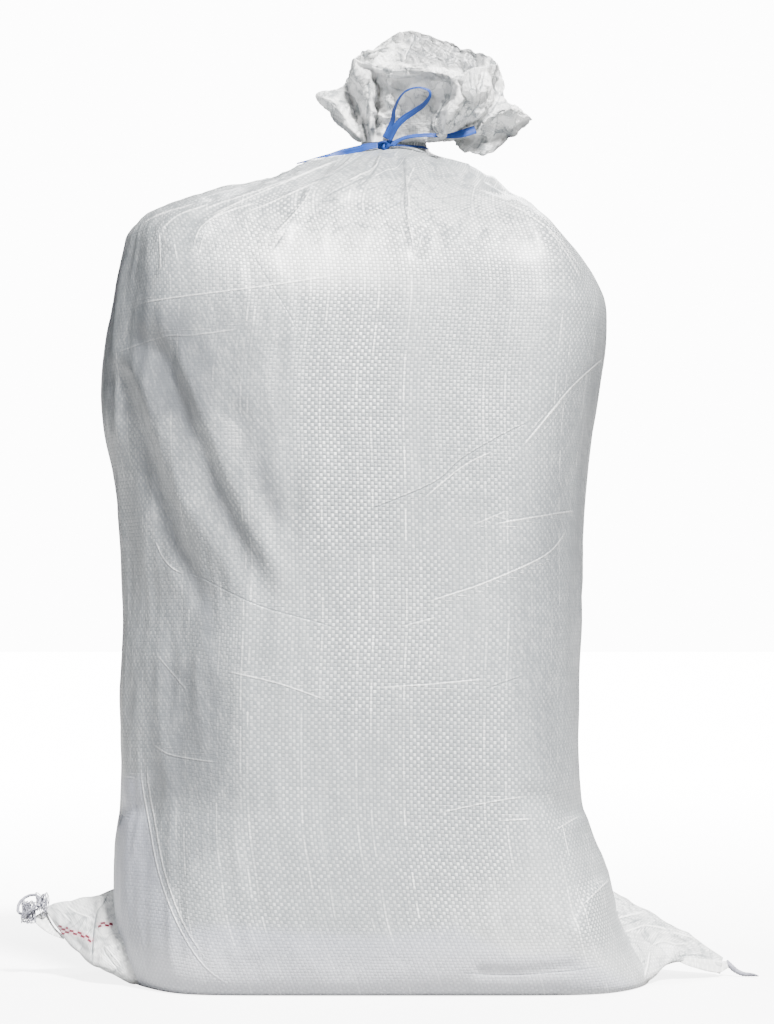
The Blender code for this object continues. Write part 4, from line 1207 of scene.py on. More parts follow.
def body_surface(rows, columns):
    """Points of the bare sack, ring by ring from the floor to the neck."""
    table = body_table(rows)
    share = np.linspace(-1.0, 1.0, columns)
    angle = -math.pi / 2 + math.pi * share * (0.62 + 0.38 * share ** 2)
    cosine = np.cos(angle)
    sine = np.sin(angle)
    rightward = ease(-0.45, 0.45, cosine)
    backward = ease(-0.25, 0.25, sine)
    flanks = flank_table(table[:, 0])
    points = np.empty((rows, columns, 3))
    for index, (z, left, right, front, back, left_sq, right_sq, back_sq) in enumerate(table):
        facing = left_sq + (right_sq - left_sq) * rightward
        square = facing + (back_sq - facing) * backward
        reach = (abs(cosine) ** square + abs(sine) ** square) ** (-1.0 / square)
        depth = np.where(sine < 0, front, back)
        middle = (left + right) / 2
        half = (right - left) / 2
        ring = np.stack((half * reach * cosine, depth * reach * sine), axis=1)
        turned = np.arctan2(ring[:, 1], ring[:, 0])
        flat = flank_reach(turned, left, right, front, back, flanks[index])
        flat = np.stack((flat * np.cos(turned), flat * np.sin(turned)), axis=1)
        for axis in (0, 1):
            low, high = ring[:, axis].min(), ring[:, axis].max()
            flat[:, axis] *= np.where(flat[:, axis] < 0, low / flat[:, axis].min(), high / flat[:, axis].max())
        ring += (flat - ring) * (1 - ease(*FLANK_TOP, z))
        points[index, :, 0] = middle + ring[:, 0]
        points[index, :, 1] = ring[:, 1]
        points[index, :, 2] = z
    return points


def surface_normals(points):
    """Outward normals of a grid of points that closes on itself."""
    along = np.gradient(points, axis=0)
    wrapped = np.concatenate((points[:, -2:-1], points, points[:, 1:2]), axis=1)
    across = (wrapped[:, 2:] - wrapped[:, :-2]) / 2
    normal = np.cross(across, along)
    return normal / np.maximum(np.linalg.norm(normal, axis=2, keepdims=True), 1e-12)


def cloth_uv(points):
    """Distances in metres round each ring from its front, and up each column."""
    rows, columns = points.shape[:2]
    around = np.linalg.norm(np.diff(points, axis=1), axis=2)
    run = np.concatenate((np.zeros((rows, 1)), np.cumsum(around, axis=1)), axis=1)
    run -= run[:, columns // 2][:, None]
    upward = np.linalg.norm(np.diff(points, axis=0), axis=2)
    rise = np.concatenate((np.zeros((1, columns)), np.cumsum(upward, axis=0)), axis=0)
    return np.stack((run, rise), axis=2)


def fold_profile(kind, off):
    """Height of a fold at a distance from its line, in half widths."""
    if kind == "lip":
        return np.where(off < 0, np.exp(-((off / 2.4) ** 2)), np.exp(-((off / 0.55) ** 2)))
    sign = -1.0 if kind == "groove" else 1.0
    return sign * np.exp(-(off ** 2))


def front_folds(points, facing, folds):
    """How far the front is pushed out or in by the folds that the camera sees."""
    columns, rows = to_pixels(points)
    push = np.zeros(columns.shape)
    for kind, height, width, route in folds:
        line = smooth_line(route)
        near = near_line(columns, rows, line, width * 5)
        signed, share = distance_to_line(columns[near], rows[near], line)
        fade = ease(0.0, 0.12, share) * (1 - ease(0.7, 1.0, share))
        push[near] += height * fade * fold_profile(kind, signed / width)
    return push * facing


def neck_pleats(points):
    """Pleats that run out from the tied neck over the shoulders."""
    off_x = points[..., 0] - NECK_CENTRE[0]
    off_y = points[..., 1] - NECK_CENTRE[1]
    away = np.hypot(off_x, off_y)
    turn = np.arctan2(off_y, off_x)
    ring = np.stack((np.cos(turn) * PLEAT_RADIUS, np.sin(turn) * PLEAT_RADIUS, away * PLEAT_STRETCH), axis=-1)
    ridges = crumple(ring, PLEAT_SIZE, 21) + 0.45
    grow = ease(*PLEAT_START, away) * (1 - ease(*PLEAT_END, away))
    return ridges * PLEAT_HEIGHT * grow * ease(*PLEAT_FOOT, points[..., 2])


def crease_layer(points, facing, creases):
    """Signed distance to the nearest drawn crease of a layer, and its strength there."""
    columns, rows = to_pixels(points)
    reach = CREASE_REACH / PIXEL_SIZE
    away = np.full(columns.shape, CREASE_REACH)
    strength = np.zeros(columns.shape)
    closest = np.full(columns.shape, reach)
    for weight, route in creases:
        line = smooth_line(route)
        near = near_line(columns, rows, line, reach)
        signed, share = distance_to_line(columns[near], rows[near], line)
        fade = ease(0.0, 0.15, share) * (1 - ease(0.8, 1.0, share)) * (1 - ease(reach * 0.7, reach, abs(signed)))
        best = abs(signed) < closest[near]
        closest[near] = np.where(best, abs(signed), closest[near])
        away[near] = np.where(best, signed * PIXEL_SIZE, away[near])
        strength[near] = np.where(best, weight * fade, strength[near])
    return away, strength * facing


def add_values(piece, order, **grids):
    """Keep numbers of a grid's points on the piece made from it, by name."""
    for name, grid in grids.items():
        layer = piece.data.attributes.new(name, "FLOAT", "POINT")
        layer.data.foreach_set("value", grid.ravel()[order].astype(np.float32))


def add_creases(piece, order, letter, away, strength):
    """Keep one layer of drawn creases on a piece."""
    add_values(piece, order, **{"crease_" + letter: away, "strength_" + letter: strength})


def zone_share(columns, rows, corners, soft):
    """1 inside the outline through pixel corners and 0 outside, over a soft edge."""
    corners = np.array(corners, dtype=float)
    away, _ = distance_to_line(columns, rows, np.concatenate((corners, corners[:1])))
    inside = np.zeros(columns.shape, dtype=bool)
    for start, end in zip(corners, np.roll(corners, -1, axis=0)):
        spans = (start[1] > rows) != (end[1] > rows)
        rise = end[1] - start[1] if end[1] != start[1] else 1e-9
        inside ^= spans & (columns < start[0] + (end[0] - start[0]) * (rows - start[1]) / rise)
    return ease(-soft, soft, np.where(inside, abs(away), -abs(away)))


def oval_share(columns, rows, zone, power):
    """Strength of an oval zone at each place; a higher power flattens its top."""
    column, row, half_width, half_height, weight = zone
    off = ((columns - column) / half_width) ** power + ((rows - row) / half_height) ** power
    return weight * np.exp(-off)


def streaks_strength(columns, rows, streaks):
    """The strongest of several soft streaks at each place."""
    strength = np.zeros(columns.shape)
    for weight, width, route in streaks:
        line = smooth_line(route)
        near = near_line(columns, rows, line, width * 3)
        signed, share = distance_to_line(columns[near], rows[near], line)
        fade = ease(0.0, 0.25, share) * (1 - ease(0.7, 1.0, share))
        strength[near] = np.maximum(strength[near], weight * fade * np.exp(-((signed / width) ** 2)))
    return strength


def zones_strength(columns, rows, zones):
    """The strongest of several zones at each place."""
    strength = np.zeros(columns.shape)
    for weight, soft, corners in zones:
        strength = np.maximum(strength, weight * zone_share(columns, rows, corners, soft))
    return strength


def point_order(points, piece):
    """Which grid point each point of a finished piece came from."""
    flat = np.empty(len(piece.data.vertices) * 3)
    piece.data.vertices.foreach_get("co", flat)
    tree = KDTree(points.shape[0] * points.shape[1])
    for index, point in enumerate(points.reshape(-1, 3)):
        tree.insert(Vector(point), index)
    tree.balance()
    return np.array([tree.find(Vector(place))[1] for place in flat.reshape(-1, 3)])


def make_body(material):
    """The filled body, from the floor to just above the tie."""
    bare = body_surface(*BODY_GRID)
    normals = surface_normals(bare)
    facing = ease(0.02, 0.25, -normals[..., 1])
    upright = bare * np.array(UPRIGHT)
    leftward = 1 - ease(*LEFT_SIDE, bare[..., 0])
    swell = sum(spread_noise(bare, size, seed) * height for size, seed, height in SWELLS)
    swell += crumple(upright, WRINKLE_SIZE, 11) * (WRINKLE_HEIGHTS[0] + WRINKLE_HEIGHTS[1] * leftward)
    behind = crumple(bare * np.array(BACK_STRETCH), BACK_SIZE, 5) * BACK_HEIGHT * (1 - facing)
    keep = ease(*FLOOR_FADE, bare[..., 2]) * (1 - ease(*SWELL_TOP, bare[..., 2]))
    quiet = 1 - ease(*FOLD_TOP, bare[..., 2])
    push = (swell + behind) * keep + (front_folds(bare, facing, FRONT_FOLDS) + neck_pleats(bare)) * quiet
    points = bare + normals * push[..., None]
    points[:, -1] = points[:, 0]
    points[..., 2] = np.maximum(points[..., 2], 0.0)
    points[0, :, 2] = 0.0
    body = grid_piece("sack_body", points, cloth_uv(bare), caps=(0, 1))
    paint_body(body, points, point_order(points, body), facing, upright)
    body.data.materials.append(material)
    return body


def paint_body(body, points, order, facing, upright):
    """Where the body's weave and its painted glints stand out, where it is creased, and where it has painted shade, a
    painted floor reflection or painted light.
    """
    for letter, creases in (("a", CREASES_A), ("b", CREASES_B), ("c", CREASES_C)):
        add_creases(body, order, letter, *crease_layer(points, facing, creases))
    columns, rows = to_pixels(points)
    weave = np.full(rows.shape, 0.30)
    for zone in WEAVE_GLINT_ZONES:
        weave = np.maximum(weave, oval_share(columns, rows, zone, 4))
    # Painted shade on the flanks and in the hollows, less on the lit backs of the folds
    dull = zones_strength(columns, rows, PAINTED_SHADE_ZONES) + streaks_strength(columns, rows, PAINTED_SHADE_STREAKS)
    dull = dull - streaks_strength(columns, rows, PAINTED_LIGHT_STREAKS)
    dull = np.clip(dull * (1 + 0.4 * spread_noise(upright, 0.02, 61)), 0.0, 0.9)
    # Painted bluish reflection of the floor, low on the front
    low = zone_share(columns, rows, FLOOR_REFLECTION_ZONE, 9.0) * facing * FLOOR_REFLECTION_STRENGTH
    # Painted light where the cloth is brightest
    pale = sum(oval_share(columns, rows, zone, 2) for zone in PAINTED_LIGHT_ZONES)
    crushed = 0.35 * (1 - ease(0.30, 0.55, ease(190, 320, rows))) + 0.1
    add_values(
        body, order, weave=weave * facing + (1 - facing) * 0.5, dull=dull * facing, low=low, pale=pale * facing,
        crushed=crushed,
    )


# Frill

def crush(piece, hold, growth):
    """Let cloth grow while its form is held, so that it buckles, and keep the result."""
    held = piece.vertex_groups.new(name="held")
    for index, weight in enumerate(hold):
        held.add([index], float(weight), "REPLACE")
    cloth = piece.modifiers.new("crush", "CLOTH")
    settings = cloth.settings
    for name, value in CRUSH_SETTINGS.items():
        setattr(settings, name, value)
    settings.vertex_group_mass = "held"
    settings.shrink_min = -growth
    settings.effector_weights.gravity = 0.0
    cloth.collision_settings.use_self_collision = False
    cloth.point_cache.frame_start = 1
    cloth.point_cache.frame_end = CRUSH_FRAMES
    scene = bpy.context.scene
    for frame_number in range(1, CRUSH_FRAMES + 1):
        scene.frame_set(frame_number)
    seen = piece.evaluated_get(bpy.context.evaluated_depsgraph_get())
    start = np.empty(len(piece.data.vertices) * 3)
    shaped = np.empty_like(start)
    piece.data.vertices.foreach_get("co", start)
    seen.data.vertices.foreach_get("co", shaped)
    moved = (shaped - start).reshape(-1, 3)
    far = np.linalg.norm(moved, axis=1, keepdims=True)
    moved *= CRUSH_CAP * np.tanh(far / CRUSH_CAP) / np.maximum(far, 1e-9)
    piece.modifiers.remove(cloth)
    piece.vertex_groups.remove(held)
    piece.data.vertices.foreach_set("co", start + moved.ravel())
    piece.data.update()
    scene.frame_set(1)


def make_frill(material):
    """The loose cloth above the tie, open at the top."""
    rows, columns = FRILL_GRID
    cage = np.array([seen_points(column) for column in FRILL_COLUMNS]).transpose(1, 0, 2)
    points = spline_grid(cage, rows, columns + 1)
    share = np.linspace(0.0, 1.0, rows)[:, None]
    normals = surface_normals(points)
    loose = ease(*FRILL_LOOSE, share)
    turn = np.linspace(0.0, len(FRILL_COLUMNS), columns + 1)[None, :]
    panel = ease(*PANEL_STARTS, turn) * (1 - ease(*PANEL_ENDS, turn)) * (1 - ease(*PANEL_TOP, share))
    uneven = sum(crumple(points, size, seed) * height for size, seed, height in FRILL_FACETS) + FRILL_LIFT
    uneven = uneven * (1 - 0.5 * ease(0.80, 1.0, share))
    front = 1 - ease(*FRONT_ENDS, turn) + ease(*FRONT_STARTS, turn)
    folds = front_folds(points, front * ease(0.08, 0.16, share), FRILL_FOLDS)
    upward = np.gradient(points, axis=0)
    upward /= np.linalg.norm(upward, axis=2, keepdims=True)
    ragged = spread_noise(points, 0.0075, 83) * FRILL_RAGGED * ease(0.75, 1.0, share)
    points = points + normals * (uneven * loose * (1 - panel * 0.9) + folds)[..., None] + upward * ragged[..., None]
    points[:, -1] = points[:, 0]
    uv = cloth_uv(points)
    flat_round, flat_rise = FRILL_FLAT
    uv[..., 0] = np.linspace(-flat_round / 2, flat_round / 2, columns + 1)[None, :]
    uv[..., 1] = np.linspace(0.0, flat_rise, rows)[:, None]
    frill = grid_piece("sack_frill", points, uv)
    order = point_order(points, frill)
    hold = 1.0 - loose * (1 - FRILL_HOLD) * (1 - panel * 0.5)
    crush(frill, hold.ravel()[order], FRILL_GROWTH)
    draw_frill(frill, points, order, np.broadcast_to(front > 0.5, points.shape[:2]))
    frill.data.materials.append(material)
    wall = frill.modifiers.new("cloth thickness", "SOLIDIFY")
    wall.thickness = CLOTH_THICKNESS
    wall.offset = 0.0
    return frill


def facet_light_and_shade(points, middle, spread, seed):
    """Painted light and painted shade on the facets of crushed cloth."""
    facets = np.tanh(spread_noise(points, 0.011, seed) * 7) * spread
    return middle + facets + spread_noise(points, 0.0045, seed + 5) * spread * 0.8


def draw_frill(frill, points, order, front):
    """Painted light, painted shade and creases of the frill, on the walls where they are seen."""
    columns, rows = to_pixels(points)
    near = zones_strength(columns, rows, FRILL_FRONT_SHADE)
    far = zones_strength(columns, rows, FRILL_FAR_SHADE)
    # Painted light over the whole frill in lighter and greyer facets, and painted shade where its walls shade each
    # other
    add_values(
        frill, order, weave=np.full(rows.shape, 0.35), crushed=np.full(rows.shape, 0.6),
        pale=facet_light_and_shade(points, 0.68, 0.27, 71), dull=np.where(front, near, far),
    )
    layers = (("a", FRILL_FRONT_CREASES, FRILL_FAR_CREASES), ("b", FRILL_FRONT_CREASES_B, FRILL_FAR_CREASES_B))
    for letter, near_lines, far_lines in layers:
        near_layer = crease_layer(points, front.astype(float), near_lines)
        far_layer = crease_layer(points, 1.0 - front, far_lines)
        add_creases(frill, order, letter, *(np.where(front, near, far) for near, far in zip(near_layer, far_layer)))


# Ears

def make_ear(name, table, material, seed, marker=()):
    """One bottom corner of the sack, spread flat on the floor towards its tip."""
    inward = EAR_ROOT * (1 if table[0][1][0] < table[0][0][0] else -1)
    front = np.array([seen_points([(row[0][0] + inward, *row[0][1:])] + row) for row in table])
    back = front * np.array((1.0, -1.0, 1.0))
    under = (front[-1:] + back[-1:]) / 2
    ring = np.concatenate((front, under, back[:0:-1]), axis=0).transpose(1, 0, 2)
    rows, columns = EAR_GRID
    points = spline_grid(ring, rows, columns + 1)
    normals = surface_normals(points)
    share = np.linspace(0.0, 1.0, rows)[:, None]
    swell_size, swell_height = EAR_SWELL
    crush = crumple(points, EAR_FACET, seed) * EAR_CRUMPLE + spread_noise(points, swell_size, seed + 9) * swell_height
    points = points + normals * (crush * (1 - ease(0.85, 1.0, share)))[..., None]
    points[..., 2] = np.maximum(points[..., 2], EAR_FLOOR)
    points[:, -1] = points[:, 0]
    ear = grid_piece(name, points, cloth_uv(points), caps=(0, 1))
    order = point_order(points, ear)
    seen_column, seen_row = to_pixels(points)
    # Painted light on the ear, most where it lies beside the body
    pale = facet_light_and_shade(points, 0.40, 0.06, seed + 20) + 0.5 * zones_strength(seen_column, seen_row, EAR_PAINTED_LIGHT_ZONES)
    shape = seen_row.shape
    add_values(ear, order, weave=np.full(shape, 0.3), crushed=np.full(shape, 0.45), pale=pale)
    add_creases(ear, order, "a", *crease_layer(points, (points[..., 1] < 0.0).astype(float), EAR_CREASES))
    if marker:
        away, run, rows_shown = marker_rows(points, marker)
        add_values(ear, order, marker_away=away, marker_along=run, marker=rows_shown)
    ear.data.materials.append(material)
    return ear


def marker_rows(points, lines):
    """Distance off and along the nearest marker line, and how many rows it has there."""
    seen_column, seen_row = to_pixels(points)
    away = np.full(seen_column.shape, 1.0)
    run = np.zeros(seen_column.shape)
    rows_shown = np.zeros(seen_column.shape)
    for route, doubled in lines:
        line = smooth_line(route)
        signed, along = distance_to_line(seen_column, seen_row, line)
        length = np.linalg.norm(np.diff(line, axis=0), axis=1).sum() * PIXEL_SIZE
        nearer = (abs(signed) < 8) & (along > 0.0) & (along < 1.0) & (points[..., 1] < 0)
        nearer &= abs(signed) * PIXEL_SIZE < abs(away)
        away = np.where(nearer, signed * PIXEL_SIZE, away)
        run = np.where(nearer, along * length, run)
        rows_shown = np.where(nearer, np.where(along < doubled, 2.0, 1.0), rows_shown)
    return away, run, rows_shown


def make_hem(name, route, widths, material):
    """The narrow strip of cloth outside the bottom seam at an ear's tip."""
    path = smooth_line(seen_points(route), 8)
    path[:, 2] = np.maximum(path[:, 2], HEM_FLOOR)
    hem = swept_piece(name, path, flat_section(widths, HEM_THICKNESS), (0.0, -1.0, 0.4), [0.0], material)
    count = len(hem.data.vertices)
    # Painted light on the hem, as on the ears
    add_values(hem, slice(None), pale=np.full(count, 0.70), weave=np.full(count, 0.2))
    return hem


# Tie and thread

def carried_frames(path, face):
    """Directions across and out of a path, turning as little as they can."""
    along = np.gradient(path, axis=0)
    along /= np.linalg.norm(along, axis=1, keepdims=True)
    out = np.empty_like(path)
    current = np.array(face, dtype=float)
    for index, tangent in enumerate(along):
        current = current - tangent * (current @ tangent)
        current /= np.linalg.norm(current)
        out[index] = current
    return np.cross(along, out), out


def swept_piece(name, path, section, face, turns, material, closed=False):
    """A section carried along a path; section(share, angle) gives across and out."""
    across, out = carried_frames(path, face)
    share = np.linspace(0.0, 1.0, len(path))
    turn = np.interp(share, np.linspace(0.0, 1.0, len(turns)), np.radians(turns))
    turned_across = across * np.cos(turn)[:, None] + out * np.sin(turn)[:, None]
    turned_out = out * np.cos(turn)[:, None] - across * np.sin(turn)[:, None]
    angle = np.linspace(0.0, 2 * math.pi, SWEEP_SIDES + 1)
    wide, deep = section(share[:, None], angle[None, :])
    points = path[:, None] + turned_across[:, None] * wide[..., None] + turned_out[:, None] * deep[..., None]
    points[:, -1] = points[:, 0]
    if closed:
        points[-1] = points[0]
    lengths = np.concatenate(([0.0], np.cumsum(np.linalg.norm(np.diff(path, axis=0), axis=1))))
    uv = np.empty(points.shape[:2] + (2,))
    uv[..., 0] = lengths[:, None]
    uv[..., 1] = angle[None, :] * SECTION_RUN
    piece = grid_piece(name, points, uv, caps=() if closed else (0, 1))
    piece.data.materials.append(material)
    return piece


def flat_section(widths, thickness):
    """A flat tape whose width changes along it."""
    def section(share, angle):
        width = np.interp(share, np.linspace(0.0, 1.0, len(widths)), widths)
        deep = thickness / 2 * np.sign(np.sin(angle)) * abs(np.sin(angle)) ** 0.6
        ripple = 1 + 0.35 * np.sin(angle * 5 + share * 9)
        return width / 2 * np.cos(angle), deep * ripple
    return section


def twisted_section(radii, plies, twists):
    """A round thread of twisted plies, whose radius changes along it."""
    def section(share, angle):
        lobe = 0.68 + 0.32 * abs(np.cos((angle - share * twists * 2 * math.pi) * plies / 2))
        lobe = lobe * np.interp(share, np.linspace(0.0, 1.0, len(radii)), radii)
        return lobe * np.cos(angle), lobe * np.sin(angle)
    return section


def make_tie_piece(name, route, widths, turns, face, sink, material):
    """One free stretch of the blue tape."""
    path = smooth_line(route, 9)
    path[:, 2] -= sink * ease(0.0, 0.3, np.linspace(0.0, 1.0, len(path)))
    piece = swept_piece(name, path, flat_section(widths, TIE_THICKNESS), face, turns, material)
    length = float(np.linalg.norm(np.diff(path, axis=0), axis=1).sum())
    return piece


def make_band(material):
    """The tape that is wound round the neck."""
    rows, columns = BAND_GRID
    turn = np.linspace(0.0, 2 * math.pi, columns + 1)[None, :]
    around = np.linspace(0.0, 2 * math.pi, rows + 1)[:, None]
    tall = BAND_HEIGHT / 2 * np.cos(around)
    ridge = abs(np.sin(np.arccos(np.clip(np.cos(around), -1, 1)) * 2.5 + 0.7 * np.sin(turn * 3) + turn))
    deep = np.where(np.sin(around) > 0, BAND_THICKNESS * (0.45 + 0.5 * ridge), 0.0002) * abs(np.sin(around)) ** 0.5
    points = np.empty((rows + 1, columns + 1, 3))
    points[..., 0] = NECK_CENTRE[0] + (NECK_HALF_WIDTH + deep) * np.cos(turn)
    points[..., 1] = NECK_CENTRE[1] + (NECK_HALF_DEPTH + deep) * np.sin(turn)
    points[..., 2] = BAND_MIDDLE + tall + BAND_WAVE * np.sin(turn * 2 + 1.0)
    points[:, -1] = points[:, 0]
    points[-1] = points[0]
    uv = np.empty(points.shape[:2] + (2,))
    uv[..., 0] = turn * NECK_HALF_WIDTH
    uv[..., 1] = around * SECTION_RUN
    band = grid_piece("tie_band", points, uv)
    band.data.materials.append(material)
    return band


def make_knot(material):
    """The small tight knot at the front of the neck."""
    turn = np.linspace(0.0, 2 * math.pi, KNOT_STEPS)
    wide = np.sin(turn) + 1.6 * np.sin(2 * turn)
    tall = np.cos(turn) - 1.6 * np.cos(2 * turn)
    deep = -np.sin(3 * turn)
    lean = KNOT_LEAN * wide
    path = np.stack((wide * KNOT_WIDE, deep * KNOT_DEEP, (tall + lean) * KNOT_TALL), axis=1) + np.array(KNOT_CENTRE)
    return swept_piece(
        "tie_knot", path, flat_section(KNOT_TAPE, KNOT_THICKNESS), (0.0, -1.0, 0.0), [0.0], material, closed=True
    )


def make_fray(name, centre, reach, count, seed, material):
    """Loose fine fibres about one place, joined into one piece."""
    chance = np.random.default_rng(seed)
    section = twisted_section([FIBRE_RADIUS], 2, 5.0)
    parts = []
    for _ in range(count):
        route = chance.uniform(-1.0, 1.0, (6, 3)) * np.array(reach) + np.array(centre)
        route[:, 2] = np.maximum(route[:, 2], FIBRE_FLOOR)
        parts.append(swept_piece("fibre", smooth_line(route), section, (0.3, -1.0, 0.2), [0.0], material))
    with bpy.context.temp_override(active_object=parts[0], selected_editable_objects=parts):
        bpy.ops.object.join()
    parts[0].name = name
    return parts[0]


def make_thread(name, route, swell, material):
    """One loose end of the bottom seam's thread."""
    path = smooth_line(route)
    path[:, 2] = np.maximum(path[:, 2], THREAD_FLOOR)
    section = twisted_section([THREAD_WIDTH / 2 * share for share in swell], 3, 5.0)
    piece = swept_piece(name, path, section, (0.0, -1.0, 0.3), [0.0], material)
    length = float(np.linalg.norm(np.diff(path, axis=0), axis=1).sum())
    return piece


# Settings, operators and panel

def tint(name, description, default):
    """A colour setting."""
    return FloatVectorProperty(
        name=name, description=description, default=default, subtype="COLOR", min=0.0, max=1.0
    )


class SackLooks(bpy.types.PropertyGroup):
    """Sizes and colours that a user would change."""

    tape_width: FloatProperty(
        name="Weave tape", description="Width of one woven tape", default=0.00254,
        min=0.0005, unit="LENGTH",
    )
    fabric_light: tint("Cloth", "Colour of the cloth where a tape catches the light", (0.95, 0.955, 0.95))
    fabric_shade: tint("Cloth, between tapes", "Colour of the cloth between the tapes", (0.235, 0.255, 0.270))
    # The next two cloth colours are a painted bluish reflection of the floor and painted shade
    fabric_floor_reflection: tint("Cloth, at the floor", "Colour of the cloth close to the floor", (0.40, 0.415, 0.505))
    fabric_dull: tint("Cloth, dull", "Colour of the cloth where it is painted in shade", (0.084, 0.092, 0.104))
    marker_red: tint("Marker tapes", "Colour of the marker tapes woven into the cloth", (0.17, 0.012, 0.035))
    marker_pale: tint("Marker, edges", "Colour of the cloth that the marker tapes shine through", (0.78, 0.42, 0.48))
    tape_light: tint("Tie, light", "Lighter colour of the blue tie", (0.016, 0.078, 0.38))
    tape_dark: tint("Tie, dark", "Darker colour of the blue tie", (0.005, 0.021, 0.125))
    thread_light: tint("Thread, light", "Lighter colour of the seam's thread", (0.42, 0.42, 0.48))
    thread_dark: tint("Thread, dark", "Darker colour of the seam's thread", (0.042, 0.046, 0.070))


def settle(piece, node):
    """Put a finished piece on the sack in place of its solid."""
    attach(piece, "root")
    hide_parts(node)


def shared_material(maker, name, context):
    """The material of a name, made the first time that it is asked for."""
    return bpy.data.materials.get(name) or maker(context.scene.sack_looks)


class SACK_OT_body(bpy.types.Operator):
    """Build the filled body of the sack"""

    bl_idname = "sack.body"
    bl_label = "Body"

    def execute(self, context):
        body = make_body(shared_material(sack_fabric, "woven_cloth", context))
        settle(body, "sack")
        return {"FINISHED"}


class SACK_OT_frill(bpy.types.Operator):
    """Build the gathered cloth above the tie"""

    bl_idname = "sack.frill"
    bl_label = "Frill"

    def execute(self, context):
        frill = make_frill(shared_material(sack_fabric, "woven_cloth", context))
        settle(frill, "sack")
        return {"FINISHED"}


class SACK_OT_ears(bpy.types.Operator):
    """Build the two bottom corners and their hems"""

    bl_idname = "sack.ears"
    bl_label = "Ears"

    def execute(self, context):
        material = shared_material(sack_fabric, "woven_cloth", context)
        settle(make_ear("ear_left", LEFT_EAR, material, 51, MARKER_LINES), "sack")
        settle(make_ear("ear_right", RIGHT_EAR, material, 57), "sack")
        settle(make_hem("hem_left", LEFT_HEM, LEFT_HEM_WIDTHS, material), "sack")
        settle(make_hem("hem_right", RIGHT_HEM, RIGHT_HEM_WIDTHS, material), "sack")
        return {"FINISHED"}


class SACK_OT_tie(bpy.types.Operator):
    """Build the blue tie: its band, knot, loop and tails"""

    bl_idname = "sack.tie"
    bl_label = "Tie"

    def execute(self, context):
        material = shared_material(tie_tape, "blue_tape", context)
        settle(make_band(material), "tie_wrap")
        settle(make_knot(material), "tie_wrap")
        for node, route, widths, turns, face, far_end, sink in TIE_PIECES:
            piece = make_tie_piece(node + "_tape", route, widths, turns, face, sink, material)
            settle(piece, node)
        return {"FINISHED"}


class SACK_OT_thread(bpy.types.Operator):
    """Build the loose ends of the bottom seam's thread"""

    bl_idname = "sack.thread"
    bl_label = "Thread ends"

    def execute(self, context):
        material = shared_material(seam_thread, "grey_thread", context)
        fray = [make_fray(*patch, material) for patch in FRAY_PATCHES]
        for patch in fray:
            settle(patch, "thread_tail_left")
        left = make_thread("seam_thread_left", LEFT_THREAD_ROUTE, [1.0, 1.3, 1.0, 0.8], material)
        settle(left, "thread_tail_left")
        right = make_thread("seam_thread_right", RIGHT_THREAD_ROUTE, [2.3, 2.2, 1.9, 1.4, 0.5], material)
        settle(right, "thread_tail_right")
        return {"FINISHED"}


class SACK_OT_stage(bpy.types.Operator):
    """Set the floor, the lights and the camera"""

    bl_idname = "sack.stage"
    bl_label = "Stage"

    def execute(self, context):
        make_camera()
        make_floor()
        make_world()
        make_light("key", "SUN", KEY_FROM, (0.0, 0.0, 0.0), KEY_STRENGTH, (1.0, 0.985, 0.96)).angle = KEY_SOFTNESS
        make_light("fill", "AREA", FILL_PLACE, LIGHT_TARGET, FILL_POWER, (0.90, 0.94, 1.0)).size = FILL_SIZE
        make_light("back", "AREA", REAR_PLACE, LIGHT_TARGET, REAR_POWER, (1.0, 1.0, 1.0)).size = REAR_SIZE
        return {"FINISHED"}


def make_light(name, kind, place, target, power, tint):
    """A soft light that looks at a point."""
    lamp = bpy.data.lights.new(name, kind)
    lamp.energy = power
    lamp.color = tint
    holder = bpy.data.objects.new(name, lamp)
    holder.location = place
    holder.rotation_euler = (Vector(target) - Vector(place)).to_track_quat("-Z", "Y").to_euler()
    bpy.context.collection.objects.link(holder)
    return lamp


def split_rays(tree, unseen, seen, target):
    """Light the sack by one shader, and show the camera another in its place."""
    ray = tree.nodes.new("ShaderNodeLightPath")
    choice = tree.nodes.new("ShaderNodeMixShader")
    tree.links.new(ray.outputs["Is Camera Ray"], choice.inputs[0])
    tree.links.new(unseen.outputs[0], choice.inputs[1])
    tree.links.new(seen.outputs[0], choice.inputs[2])
    tree.links.new(choice.outputs[0], target.inputs["Surface"])


def make_floor():
    """The pale floor that the sack stands on."""
    work = bmesh.new()
    bmesh.ops.create_grid(
        work, x_segments=1, y_segments=1, size=FLOOR_REACH, matrix=Matrix.Translation((0, 0, FLOOR_DROP))
    )
    mesh = bpy.data.meshes.new("floor")
    work.to_mesh(mesh)
    work.free()
    floor = bpy.data.objects.new("floor", mesh)
    bpy.context.collection.objects.link(floor)
    finish = Finish("floor")
    finish.set(Base_Color=(0.72, 0.72, 0.73, 1.0), Roughness=0.9)
    plain = finish.tree.nodes.new("ShaderNodeBsdfDiffuse")
    plain.inputs["Color"].default_value = (FLOOR_BOUNCE, FLOOR_BOUNCE, FLOOR_BOUNCE, 1.0)
    split_rays(finish.tree, plain, finish.shader, finish.tree.nodes["Material Output"])
    away = finish.node("ShaderNodeVectorMath", {"operation": "LENGTH"}, finish.place(), output=1)
    glow = ((away - GLOW_START) / GLOW_REACH).held() ** GLOW_CURVE * FLOOR_GLOW + FLOOR_SHINE
    finish.set(Emission_Color=finish.blend(glow, (0.0, 0.0, 0.0, 1.0), (1.0, 1.0, 1.0, 1.0)))
    finish.set(Emission_Strength=GLOW_STRENGTH)
    floor.data.materials.append(finish.material)


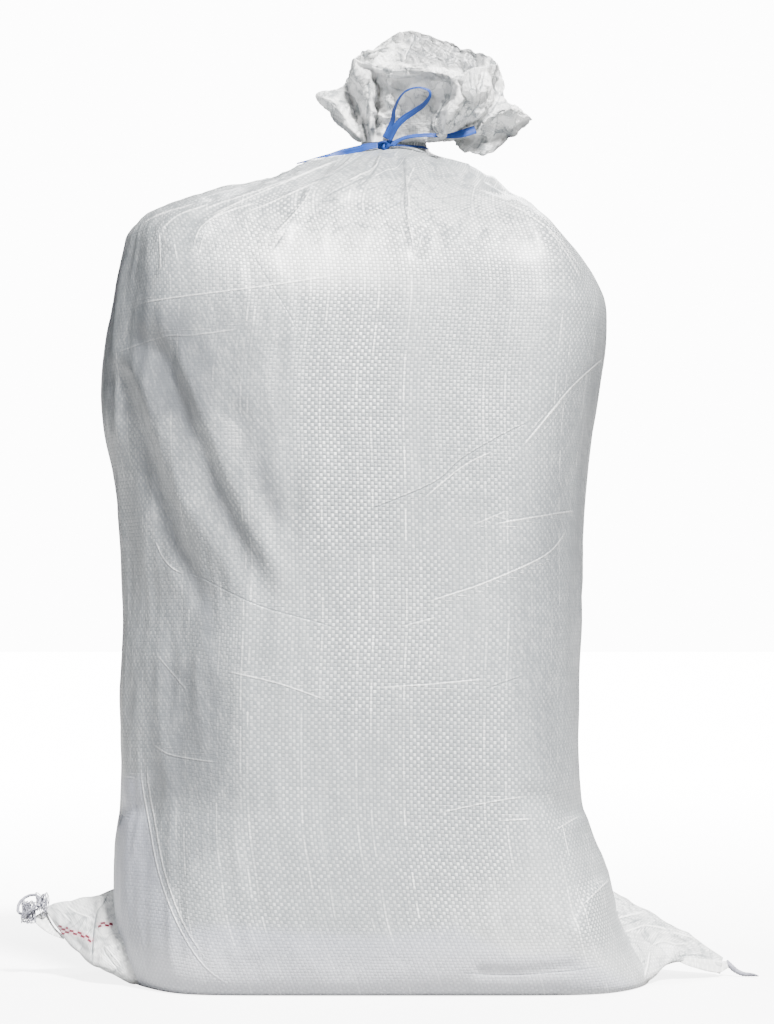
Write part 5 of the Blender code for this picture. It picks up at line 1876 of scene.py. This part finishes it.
def make_world():
    """A dim even light all round, seen as a pale backdrop."""
    world = bpy.data.worlds.new("studio")
    world.use_nodes = True
    nodes = world.node_tree.nodes
    dim = nodes["Background"]
    dim.inputs["Color"].default_value = (0.90, 0.94, 1.0, 1.0)
    dim.inputs["Strength"].default_value = WORLD_STRENGTH
    bright = nodes.new("ShaderNodeBackground")
    bright.inputs["Color"].default_value = (1.0, 1.0, 1.0, 1.0)
    bright.inputs["Strength"].default_value = BACKDROP_STRENGTH
    split_rays(world.node_tree, dim, bright, nodes["World Output"])
    bpy.context.scene.world = world


def make_camera():
    """The camera at the photograph's place and angle."""
    data = bpy.data.cameras.new("camera")
    data.sensor_width = SENSOR
    data.sensor_fit = "AUTO"
    data.lens = SENSOR / (IMAGE_HEIGHT * PIXEL_SLOPE)
    camera = bpy.data.objects.new("camera", data)
    camera.location = CAMERA_PLACE
    camera.rotation_euler = (math.pi / 2 + TILT, 0.0, 0.0)
    bpy.context.collection.objects.link(camera)
    bpy.context.scene.camera = camera


class SACK_PT_panel(bpy.types.Panel):
    """The sack's pieces and settings"""

    bl_idname = "SACK_PT_panel"
    bl_label = "Woven sack"
    bl_space_type = "VIEW_3D"
    bl_region_type = "UI"
    bl_category = "Sack"

    def draw(self, context):
        looks = context.scene.sack_looks
        for name in SackLooks.__annotations__:
            self.layout.prop(looks, name)
        for operator in OPERATORS:
            self.layout.operator(operator.bl_idname)


OPERATORS = (SACK_OT_stage, SACK_OT_tie, SACK_OT_thread, SACK_OT_body, SACK_OT_frill, SACK_OT_ears)
CLASSES = (SackLooks, *OPERATORS, SACK_PT_panel)


def register():
    for made in CLASSES:
        bpy.utils.register_class(made)
    bpy.types.Scene.sack_looks = PointerProperty(type=SackLooks)


def unregister():
    del bpy.types.Scene.sack_looks
    for made in reversed(CLASSES):
        bpy.utils.unregister_class(made)


def main():
    register()
    bpy.ops.sack.stage()
    bpy.ops.sack.tie()
    bpy.ops.sack.thread()
    bpy.ops.sack.body()
    bpy.ops.sack.frill()
    bpy.ops.sack.ears()


if __name__ == "__main__":
    main()
